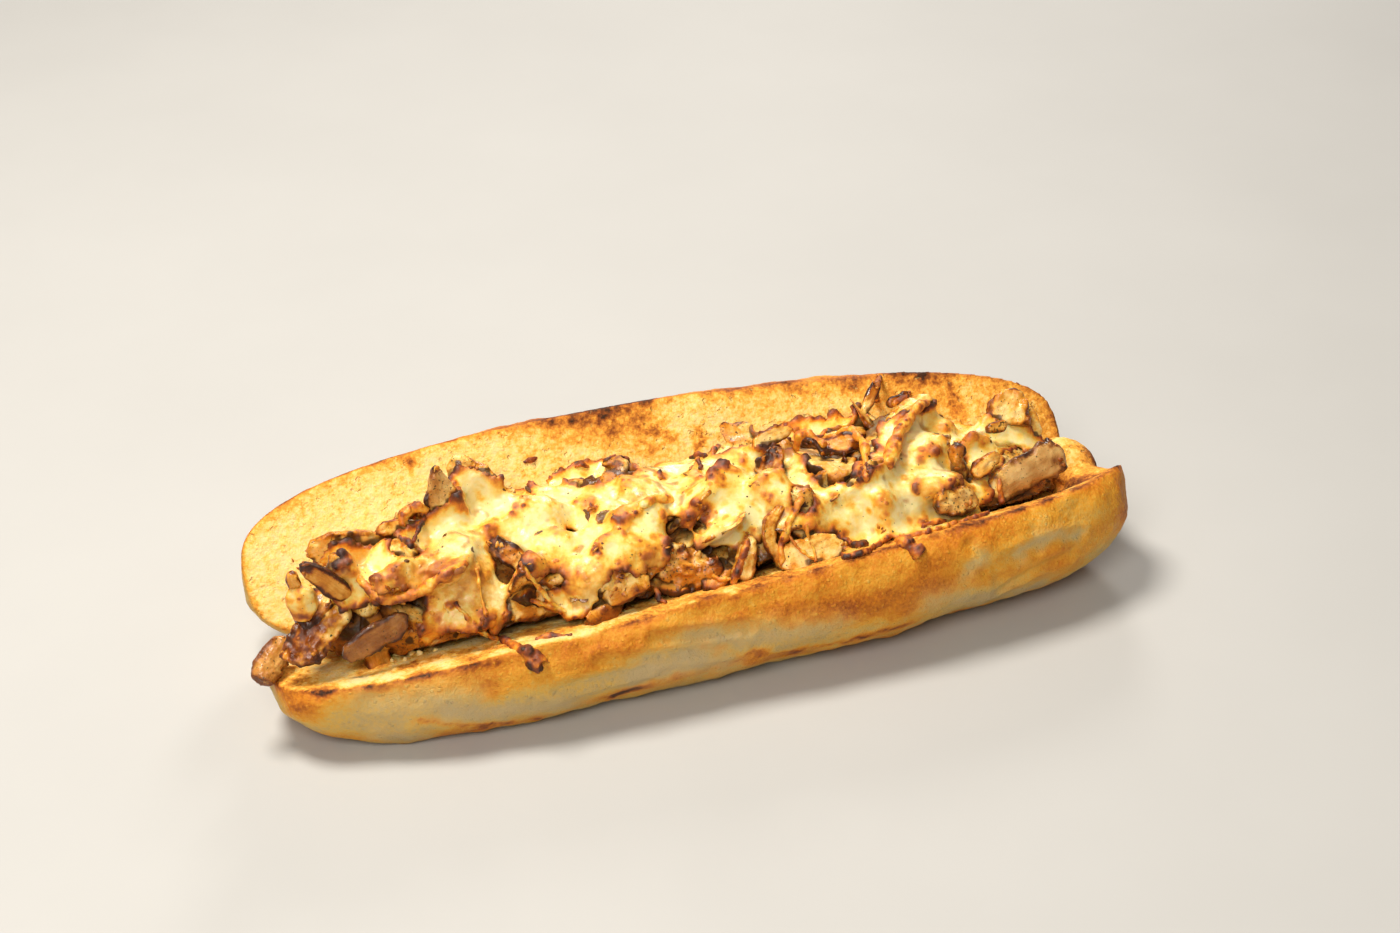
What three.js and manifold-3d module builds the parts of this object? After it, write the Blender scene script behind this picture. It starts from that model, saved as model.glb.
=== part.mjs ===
// A steak sandwich: a long roll split along one side and lying open, with sliced meat heaped along it
// and cheese melted over the heap. Millimetres, +Z up. X runs along the roll, and -Y is the side
// towards which it opens. The origin is on the resting surface, under the middle of the sandwich.
import * as THREE from "three";
import { mergeVertices } from "three/addons/utils/BufferGeometryUtils.js";
import Module from "manifold-3d";

const wasm = await Module();
wasm.setup();

const { abs, cos, exp, hypot, max, min, PI, sign, sin } = Math;
const { degToRad: radians, lerp } = THREE.MathUtils;

// The roll: two halves that lean apart from the hinge of crust that still joins them
const HINGE_Y = 5;
const HINGE_Z = 12;
const HINGE_WEB = 7; // bread left uncut behind the hinge line
const SECTION_POWER = 2.3; // 2 is an ellipse, more is boxier
const END_BLUNTNESS = 2.8;
const NEAR_HALF = {
  side: -1,
  left: -140,
  right: 139,
  leftPower: 2.6, // how late an end starts to narrow
  rightPower: 3.4,
  faceWidth: 52, // from the hinge to the rim
  depth: 30,
  waist: 7, // how far below the cut the half is widest
  lean: 28, // of the cut face at mid length, in degrees
  leanPerMm: 0.09,
  lift: 10, // degrees by which its right end turns up
};
const FAR_HALF = {
  side: 1,
  left: -140,
  right: 134,
  leftPower: 2.5,
  rightPower: 1.9,
  faceWidth: 57,
  depth: 25,
  waist: 5,
  lean: 46.5,
  leanPerMm: -0.012,
  lift: 0,
};
const LIFT_FROM = 100;
// Bread left uncut at the right end, as lumps
const END_JOINS = [
  { at: [126, 2, 26], radii: [12, 12, 10] },
  { at: [129, -14, 27], radii: [10, 9, 7] },
];
const END_JOIN_SIDES = 10;
const FACE_STEPS = 5;
const CRUST_STEPS = 14;
const ROLL_RINGS = 32;
const CRUST_RELIEF = 0.8;
const CRUST_WAVE = 17;
const CRUST_ROUND = 20; // crust per radian round a half
const HINGE_SIDE_POWER = 0.8; // the hinge side of an end narrows later than its rim side
const DEPTH_POWER = 0.6; // and the underside later still
const END_FADE = 2; // how soon relief and gaps reach their full size behind an end

// The heap of sliced meat that lies in the fold
const HEAP = {
  left: -127,
  right: 121,
  y: -1,
  yPerMm: 0.01,
  z: 26,
  halfWidth: 34,
  halfWidthPerMm: 0.03, // it is wider to the right
  halfHeight: 23,
  relief: 2.4,
  wave: 7.5,
  round: 28, // surface per radian round the heap
};
const HEAP_SIDES = 20;
const HEAP_RINGS = 28;
const HEAP_END_POWER = 3.4;
const HEAP_END_BLUNTNESS = 2.2;
// Short ends of slices that stick out of it: each range is drawn from anew for every one
const SCRAPS = {
  count: 18,
  seed: 11,
  fromEnds: 14,
  degreesRound: [45, 150],
  reach: [6, 11], // half its length along the heap
  reachAcross: 0.7, // of that, for one that points across
  sunk: 2,
  rise: [-1, 5],
  width: [8, 14],
  thickness: [3, 6],
  roll: [-40, 40],
  bend: [-30, 30],
  twist: [-20, 20],
};

// The slices that show one by one, each from end to end, with width, thickness, roll, bend and twist
const SLICES = [
  ["left_fold", [-131, -22, 27], [-116, -16, 55], 22, 5, 8, 35, 20],
  ["left_curl", [-130, -21, 56], [-113, -27, 45], 15, 3, 60, 50, 25],
  ["left_scrap", [-139, -24, 21], [-128, -6, 31], 13, 7, 0, 20, 0],
  ["flat_slice", [-119, -29, 34], [-94, -27, 42], 15, 3.5, 50, 12, 8],
  ["short_slice", [-110, -10, 48], [-106, -21, 37], 17, 4, 20, 15, 0],
  ["back_slice_left", [-124, 3, 46], [-88, 5, 45], 15, 4.5, 20, -15, 10],
  ["upright_slice", [-80, 2, 40], [-81, 6, 67], 17, 5, -20, 15, 15],
  ["leaning_slice", [-77, 15, 62], [-64, 6, 45], 15, 5, 30, -20, 5],
  ["browned_fold", [-108, -25, 45], [-78, -14, 50], 12, 5, 30, -20, 25],
  ["dark_chunk", [-70, -10, 50], [-61, -21, 40], 13, 8, 10, -15, 15],
  ["cheesy_chunk", [-62, -10, 45], [-43, 3, 48], 20, 9, 10, -25, 0],
  ["front_chunk", [-49, -28, 38], [-16, -18, 46], 20, 8, 45, -15, 10],
  ["peppered_chunk", [-24, -22, 42], [-1, -27, 35], 20, 9, 35, -20, 0],
  ["front_upright", [3, -33, 33], [7, -25, 47], 9, 3.5, 15, 20, 25],
  ["front_peel", [14, -30, 39], [21, -19, 52], 9, 3, 25, 45, 30],
  ["rim_slice", [15, -31, 38], [38, -31, 41], 13, 6, 40, -8, 0],
  ["folded_slice", [31, -15, 44], [40, -7, 54], 13, 5, 20, 30, 10],
  ["back_slice", [-33, 13, 41], [-8, 16, 41], 14, 6, 25, -15, 0],
  ["peak_slice", [19, -1, 46], [27, 4, 58], 12, 6, 10, 20, 15],
  ["charred_twist", [33, 4, 53], [61, -5, 50], 13, 4, 50, 25, 70],
  ["ribbed_curl", [61, -3, 44], [83, 20, 53], 14, 9, 10, -30, 0],
  ["standing_strip", [61, 17, 46], [70, 27, 57], 8, 3, 20, 20, 30],
  ["spiced_cube", [79, -16, 40], [83, -9, 55], 10, 8, 0, 10, 0],
  ["spiced_slice", [66, -27, 42], [82, -25, 43], 10, 6, 30, -10, 0],
  ["long_slice", [91, -20, 39], [118, -10, 47], 15, 7, 55, -12, 20],
  ["pointed_slice", [105, 13, 40], [119, 21, 48], 12, 4, 30, 15, 20],
  ["pale_slab", [96, 5, 43], [116, 12, 44], 16, 6, 20, -10, 0],
];
const SLICE_STEPS = 4;
const SCRAP_STEPS = 2;
const SLICE_UNEVENNESS = { share: 0.16, wave: 1.6, reach: 5 };
// What a slice loses of its size by its long edges and its ends
const THIN_EDGES = 0.3;
const THIN_ENDS = 0.35;
const NARROW_ENDS = 0.25;
const ROUND_ENDS = 0.06;
const LEAST_BEND = 0.01; // stands in for none, so that there is a radius

// The melted cheese: a lumpy sheet over the heap, with bare places where the meat comes through
const CHEESE_THICKNESS = 2.4;
const CHEESE_EDGE = 1.6; // how thick it ends
const CHEESE_EDGE_SLOPE = 12;
const CHEESE_SIDES = 28;
const CHEESE_RINGS = 40;
const CHEESE_LUMPS = { least: 0.95, height: 0.75, wave: 6, round: 24, shift: 40 };
// How far round the heap it reaches, in degrees, and how unevenly that edge runs
const CHEESE_SPREAD = { middle: 96, reach: 56, stray: 8, strayWave: 5, strayAt: 3, fade: 9 };
const BARE_DEPTH = 2.2;
const BARE_SHARPNESS = 4;
const BARE_ROUND = 30; // millimetres per radian, for the size of a bare place
const BARE_PLACES = [
  // place along X, angle round the heap in degrees, size in millimetres
  [-118, 150, 22],
  [-92, 138, 9],
  [-98, 88, 7],
  [-56, 160, 7],
  [-30, 160, 16],
  [-4, 155, 11],
  [8, 160, 9],
  [2, 112, 5],
  [46, 82, 15],
  [32, 128, 8],
  [98, 150, 14],
  [112, 100, 9],
];
// Two runs of cheese that went over the near rim and browned on the crust
const DRIPS = [
  ["drip", [-78, -14, 49], [-67, -46.5, 28], 6, 5, 0, -35, 0],
  ["drip", [48, -14, 52], [55, -43, 37], 8, 5, 0, -35, 0],
];
const DRIP_END = 3; // radius of the drop that a run ends in
const DRIP_SIDES = 8;

const GAP = 0.35; // air left between pieces that touch
const SLIVER = 0.02; // edges shorter than this are closed up after a cut
const WELD = 1e-4; // corners nearer than this are one

// Unevenness is three crossing waves: the share of each, its lengths against the first, its start
const BROAD_WAVE = { share: 0.5, sway: 1.3, swayLength: 0.8 };
const CROSS_WAVE = { share: 0.3, length: 0.6, slant: 2.3, start: 1.9 };
const SHORT_WAVE = { share: 0.2, length: 0.45, slant: 0.7, start: 0.6 };

const COLOURS = {
  crust: { color: 0xd9a257, roughness: 0.65 },
  meat: { color: 0xa9744a, roughness: 0.6 },
  cheese: { color: 0xf0d488, roughness: 0.4 },
};

// Numbers drawn from a seeded sequence, 0 to 1.
function seeded(seed) {
  const [times, plus, range] = [1664525, 1013904223, 2 ** 32];
  let state = seed;
  return () => {
    state = (state * times + plus) % range;
    return state / range;
  };
}

// Smooth unevenness between about -1 and 1 over a length of crust, meat or cheese.
function uneven(a, b, wave) {
  const { share, sway, swayLength } = BROAD_WAVE;
  const broad = share * sin(a / wave + sway * sin(b / (wave * swayLength)));
  const { length, slant, start } = CROSS_WAVE;
  const cross = CROSS_WAVE.share * sin(b / (wave * length) + start + a / (wave * slant));
  const shortPhase = a / (wave * SHORT_WAVE.length) - b / (wave * SHORT_WAVE.slant) + SHORT_WAVE.start;
  return broad + cross + SHORT_WAVE.share * sin(shortPhase);
}

// v to the power 2 / SECTION_POWER, keeping its sign.
function squared(v) {
  return sign(v) * abs(v) ** (2 / SECTION_POWER);
}

// A closed surface whose rings follow one another and shrink to a point at both ends. place is
// given the way from end to end, -1 to 1, and the number of the side.
function ringed(sides, rings, place) {
  const geometry = new THREE.SphereGeometry(1, sides, rings);
  const position = geometry.getAttribute("position");
  for (let ring = 0; ring <= rings; ring++) {
    for (let side = 0; side <= sides; side++) {
      const point = place(-cos((PI * ring) / rings), side % sides);
      position.setXYZ(ring * (sides + 1) + side, point.x, point.y, point.z);
    }
  }
  return geometry;
}

// A geometry as a solid that can be joined and cut.
function solidOf(geometry) {
  const bare = geometry.clone();
  bare.deleteAttribute("normal");
  bare.deleteAttribute("uv");
  const merged = mergeVertices(bare, WELD);
  return new wasm.Manifold(
    new wasm.Mesh({
      numProp: 3,
      vertProperties: new Float32Array(merged.attributes.position.array),
      triVerts: new Uint32Array(merged.index.array),
    }),
  );
}

// How full a half of the roll is at x, 1 at the middle and 0 at its ends.
function fullnessAt(half, x) {
  const middle = (half.left + half.right) / 2;
  const t = min(1, abs(x - middle) / ((half.right - half.left) / 2));
  return (1 - t ** (x < middle ? half.leftPower : half.rightPower)) ** (1 / END_BLUNTNESS);
}

// A point of a half: s is the way from the hinge to the rim, n the depth under the cut face.
function onHalf(half, x, s, n) {
  const lift = half.lift * (max(0, x - LIFT_FROM) / (half.right - LIFT_FROM)) ** 2;
  const lean = radians(half.lean + half.leanPerMm * x + lift);
  return {
    x,
    y: HINGE_Y + half.side * (s * cos(lean) + n * sin(lean)),
    z: HINGE_Z + s * sin(lean) - n * cos(lean),
  };
}

// One half of the roll, grown on all sides by grow.
function rollHalf(half, grow) {
  const { depth, waist } = half;
  const width = half.faceWidth + HINGE_WEB;
  const faceMiddle = width / 2 - HINGE_WEB;
  const halfHeight = depth - waist;
  const cutAngle = Math.asin((waist / halfHeight) ** (SECTION_POWER / 2));
  const halfWidth = width / 2 / squared(cos(cutAngle));
  const halfLength = (half.right - half.left) / 2;
  const middle = (half.left + half.right) / 2;
  return ringed(FACE_STEPS + CRUST_STEPS, ROLL_RINGS, (t, side) => {
    const x = middle + t * (halfLength + grow);
    const rimFullness = fullnessAt(half, middle + t * halfLength);
    const fullness = rimFullness ** HINGE_SIDE_POWER;
    const towardsRim = (way) => way * (way > 0 ? rimFullness : fullness);
    const faceGrow = grow * min(1, fullness * END_FADE);
    let s = 0;
    let n = -faceGrow;
    if (side <= FACE_STEPS) {
      const share = half.side > 0 ? side / FACE_STEPS : 1 - side / FACE_STEPS;
      s = faceMiddle + towardsRim((share - 0.5) * (width + 2 * grow));
    } else {
      const share = (side - FACE_STEPS) / CRUST_STEPS;
      const angle = lerp(-cutAngle, PI + cutAngle, half.side > 0 ? 1 - share : share);
      const bump = CRUST_RELIEF * uneven(x, angle * CRUST_ROUND, CRUST_WAVE) * fullness;
      s = faceMiddle + towardsRim(-(halfWidth + grow + bump) * squared(cos(angle)));
      n = (waist + (halfHeight + grow + bump) * squared(sin(angle))) * rimFullness ** DEPTH_POWER;
      n = max(n, -faceGrow);
    }
    const point = onHalf(half, x, s, n);
    point.z = max(point.z, -faceGrow);
    return point;
  });
}

// A lump of the bread that still joins the halves at one end.
function endJoin({ at, radii: [rx, ry, rz] }, grow) {
  const geometry = new THREE.SphereGeometry(1, END_JOIN_SIDES, END_JOIN_SIDES / 2);
  geometry.scale(rx + grow, ry + grow, rz + grow);
  geometry.translate(...at);
  return geometry;
}

function rollSolid(grow = 0) {
  const halves = solidOf(rollHalf(NEAR_HALF, grow)).add(solidOf(rollHalf(FAR_HALF, grow)));
  return END_JOINS.reduce((roll, join) => roll.add(solidOf(endJoin(join, grow))), halves);
}

// The heap's surface, grown on all sides by grow and outwards by what cover(x, angle) gives.
function heapSurface(sides, rings, grow, cover = () => 0) {
  const middle = (HEAP.left + HEAP.right) / 2;
  const halfLength = (HEAP.right - HEAP.left) / 2;
  return ringed(sides, rings, (t, side) => {
    const angle = 2 * PI * (1 - side / sides);
    const fullness = max(0, 1 - abs(t) ** HEAP_END_POWER) ** (1 / HEAP_END_BLUNTNESS);
    const x = middle + t * halfLength;
    const halfWidth = HEAP.halfWidth + HEAP.halfWidthPerMm * x;
    const lump = HEAP.relief * uneven(x, angle * HEAP.round, HEAP.wave);
    const grown = (lump + grow + cover(x, angle)) * min(1, fullness * END_FADE);
    return {
      x: x + t * grow,
      y: HEAP.y + HEAP.yPerMm * x + (halfWidth * fullness + grown) * cos(angle),
      z: HEAP.z + (HEAP.halfHeight * fullness + grown) * sin(angle),
    };
  });
}

// A slice of meat, bent and twisted, thinner towards its edges and ends.
function sliceSolid([, from, to, width, thickness, roll, bend, twist], grow = 0, steps = SLICE_STEPS) {
  const start = new THREE.Vector3(...from);
  const end = new THREE.Vector3(...to);
  const length = start.distanceTo(end);
  const ahead = end.clone().sub(start).normalize();
  const across = new THREE.Vector3(-ahead.y, ahead.x, 0).normalize();
  across.applyAxisAngle(ahead, radians(roll));
  const out = ahead.clone().cross(across);
  const place = new THREE.Matrix4()
    .makeBasis(ahead, across, out)
    .setPosition(start.clone().add(end).divideScalar(2));
  const geometry = new THREE.BoxGeometry(2, 2, 2, steps, max(1, steps / 2), 1);
  const position = geometry.getAttribute("position");
  const radius = length / radians(bend || LEAST_BEND);
  const { share, wave, reach } = SLICE_UNEVENNESS;
  for (let i = 0; i < position.count; i++) {
    const [u, v, w] = [position.getX(i), position.getY(i), position.getZ(i)];
    const rough = 1 + share * uneven(u * reach + from[0], v * reach + from[1], wave);
    const thin = (1 - THIN_EDGES * v * v) * (1 - THIN_ENDS * u * u) * rough;
    const half = v * ((width / 2) * (1 - NARROW_ENDS * u ** 4) * rough + grow);
    const rise = w * ((thickness / 2) * thin + grow);
    const turn = radians(twist) * u;
    const side = half * cos(turn) - rise * sin(turn);
    const lift = half * sin(turn) + rise * cos(turn);
    const arc = (u * (length / 2) * (1 - ROUND_ENDS * v * v) + u * grow) / radius;
    position.setXYZ(i, (radius - lift) * sin(arc), side, radius - (radius - lift) * cos(arc));
  }
  geometry.applyMatrix4(place);
  return solidOf(geometry);
}

// The short ends of slices that are fused on the heap.
function scraps() {
  const draw = seeded(SCRAPS.seed);
  const spread = ([low, high]) => lerp(low, high, draw());
  return Array.from({ length: SCRAPS.count }, (_, i) => {
    const share = (i + 0.5) / SCRAPS.count;
    const x = lerp(HEAP.left + SCRAPS.fromEnds, HEAP.right - SCRAPS.fromEnds, share);
    const angle = radians(spread(SCRAPS.degreesRound));
    const y = HEAP.y + HEAP.halfWidth * cos(angle);
    const z = HEAP.z + HEAP.halfHeight * sin(angle);
    const reach = spread(SCRAPS.reach);
    const heading = spread([0, 2 * PI]);
    const [dx, dy] = [reach * cos(heading), reach * SCRAPS.reachAcross * sin(heading)];
    const dz = spread(SCRAPS.rise);
    const { width, thickness, roll, bend, twist } = SCRAPS;
    const shape = [width, thickness, roll, bend, twist].map(spread);
    return ["scrap", [x - dx, y - dy, z - SCRAPS.sunk], [x + dx, y + dy, z + dz], ...shape];
  });
}

// The heap with its scraps.
function heapSolid(grow) {
  const bare = solidOf(heapSurface(HEAP_SIDES, HEAP_RINGS, grow));
  return scraps().reduce((heap, scrap) => heap.add(sliceSolid(scrap, grow, SCRAP_STEPS)), bare);
}

// How far the cheese stands off the heap, less than nothing where it is bare.
function cheeseCover(x, angle) {
  const degrees = (angle * 180) / PI;
  const { least, height, wave, round, shift } = CHEESE_LUMPS;
  const lumps = least + height * uneven(x + shift, angle * round, wave);
  const { middle, reach, stray, strayWave, strayAt, fade } = CHEESE_SPREAD;
  const edge = max(0, abs(degrees - middle) - reach - stray * uneven(x, strayAt, strayWave)) / fade;
  const bare = BARE_PLACES.reduce((sum, [bareX, bareAngle, size]) => {
    const away = hypot(x - bareX, radians(degrees - bareAngle) * BARE_ROUND) / size;
    return sum + BARE_DEPTH * exp(-(away ** BARE_SHARPNESS));
  }, 0);
  const amount = lumps - edge - bare;
  const brink = max(-CHEESE_EDGE, min(CHEESE_EDGE, amount * CHEESE_EDGE_SLOPE));
  return brink + CHEESE_THICKNESS * max(0, amount);
}

// A run of cheese with the drop that it ends in.
function dripSolid(drip) {
  const drop = new THREE.SphereGeometry(DRIP_END, DRIP_SIDES, DRIP_SIDES / 2);
  drop.translate(...drip[2]);
  return sliceSolid(drip).add(solidOf(drop));
}

// The largest of the bodies that a cut left, without the slivers along the cut.
function mainBody(solid) {
  const bodies = solid.setTolerance(SLIVER).decompose();
  return bodies.reduce((best, body) => (body.volume() > best.volume() ? body : best));
}

function meshOf(name, solid, { color, roughness }) {
  const mesh = solid.getMesh();
  const points = new Float32Array(mesh.numVert * 3);
  for (let i = 0; i < mesh.numVert; i++) {
    points.set(mesh.vertProperties.subarray(i * mesh.numProp, i * mesh.numProp + 3), i * 3);
  }
  const geometry = new THREE.BufferGeometry()
    .setAttribute("position", new THREE.BufferAttribute(points, 3))
    .setIndex(new THREE.BufferAttribute(mesh.triVerts, 1));
  geometry.computeVertexNormals();
  const made = new THREE.Mesh(geometry, new THREE.MeshStandardMaterial({ color, roughness, metalness: 0 }));
  made.name = name;
  return made;
}

const group = new THREE.Group();
const rollRoom = rollSolid(GAP);
group.add(meshOf("roll", rollSolid(), COLOURS.crust));

// Each slice gives way to those before it, the heap to the slices, and the cheese to everything.
let taken = rollRoom;
for (const slice of SLICES) {
  const solid = mainBody(sliceSolid(slice).subtract(taken));
  group.add(meshOf(slice[0], solid, COLOURS.meat));
  taken = taken.add(sliceSolid(slice, GAP));
}
group.add(meshOf("meat_heap", mainBody(heapSolid(0).subtract(taken)), COLOURS.meat));

let cheese = solidOf(heapSurface(CHEESE_SIDES, CHEESE_RINGS, 0, cheeseCover));
for (const drip of DRIPS) {
  cheese = cheese.add(dripSolid(drip));
}
cheese = mainBody(cheese.subtract(heapSolid(GAP)).subtract(taken));
group.add(meshOf("melted_cheese", cheese, COLOURS.cheese));

// The middle of the sandwich goes over the origin.
group.updateMatrixWorld(true);
const middle = new THREE.Box3().setFromObject(group).getCenter(new THREE.Vector3());
group.position.set(-middle.x, -middle.y, 0);

export default group;
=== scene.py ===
"""A hot steak sandwich: a long split roll, lying open, with grilled sliced meat heaped in it under
browned melted cheese. Metres. X runs along the roll, -Y is the side it opens to, Z is up."""
import math
import random

import bpy
import numpy as np
from mathutils import Matrix, Vector, noise
from mathutils.bvhtree import BVHTree
from mathutils.kdtree import KDTree


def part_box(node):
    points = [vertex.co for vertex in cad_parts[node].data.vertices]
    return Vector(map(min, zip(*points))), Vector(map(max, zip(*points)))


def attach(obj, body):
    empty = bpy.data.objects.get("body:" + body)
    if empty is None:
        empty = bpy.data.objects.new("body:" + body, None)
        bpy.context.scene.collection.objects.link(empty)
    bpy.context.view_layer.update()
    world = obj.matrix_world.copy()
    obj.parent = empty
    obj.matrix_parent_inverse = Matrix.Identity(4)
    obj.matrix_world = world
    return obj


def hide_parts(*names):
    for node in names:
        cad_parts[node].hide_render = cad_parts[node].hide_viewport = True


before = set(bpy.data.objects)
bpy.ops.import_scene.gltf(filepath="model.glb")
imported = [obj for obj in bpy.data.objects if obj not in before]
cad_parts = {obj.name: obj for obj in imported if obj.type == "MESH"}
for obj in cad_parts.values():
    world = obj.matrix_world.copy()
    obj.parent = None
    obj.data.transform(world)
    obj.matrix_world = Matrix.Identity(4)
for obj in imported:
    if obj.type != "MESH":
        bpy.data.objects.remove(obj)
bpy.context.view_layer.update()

MM = 0.001
random.seed(7)

# The camera, standing where the photograph was taken from
PHOTO_WIDE, PHOTO_HIGH = 1400, 933
LENS = 65
SENSOR = 36
AIM = Vector((0.01633, 0.04031, 0.025))
DISTANCE = 0.830
AZIMUTH, ELEVATION = math.radians(-19), math.radians(33)
CAMERA_BACK = Vector((
    math.sin(AZIMUTH) * math.cos(ELEVATION), -math.cos(AZIMUTH) * math.cos(ELEVATION), math.sin(ELEVATION)))
CAMERA_AT = AIM + CAMERA_BACK * DISTANCE

# The roll, as it was cut: its hinge, how many degrees each half leans at the middle of the roll, how many
# more it leans for each metre along it, and how many more the near half leans at its right end
HINGE = Vector((0, 2.91, 12)) * MM
NEAR_LEAN, NEAR_LEAN_PER_M = 28, 90
FAR_LEAN, FAR_LEAN_PER_M = 46.5, -12
LIFT, LIFT_FROM, LIFT_TO = 10, 102 * MM, 141 * MM
# Where the halves stay joined at the right end, and the crumb that closes the hinge under it
END_JOIN = Vector((129, -7, 26)) * MM
END_JOIN_RADIUS = 18 * MM
WEB_LUMP = Vector((117, 2, 17)) * MM
WEB_LUMP_RADII = Vector((15, 14, 9)) * MM

# How fine each surface is made
BREAD_GRAIN = 1.05 * MM
MEAT_GRAIN = 0.5 * MM
STRIP_GRAIN = 0.75 * MM
HEAP_GRAIN = 1.1 * MM
CHEESE_GRAIN = 0.75 * MM
DRAPE_GRAIN = 1.1 * MM
STRAND_GRAIN = 0.4 * MM
MERGED = 1e-6
# Height that the rays which look for the food from above start at, and how far apart noise is sampled
ABOVE = 0.2
NOISE_SPAN = 40

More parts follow.
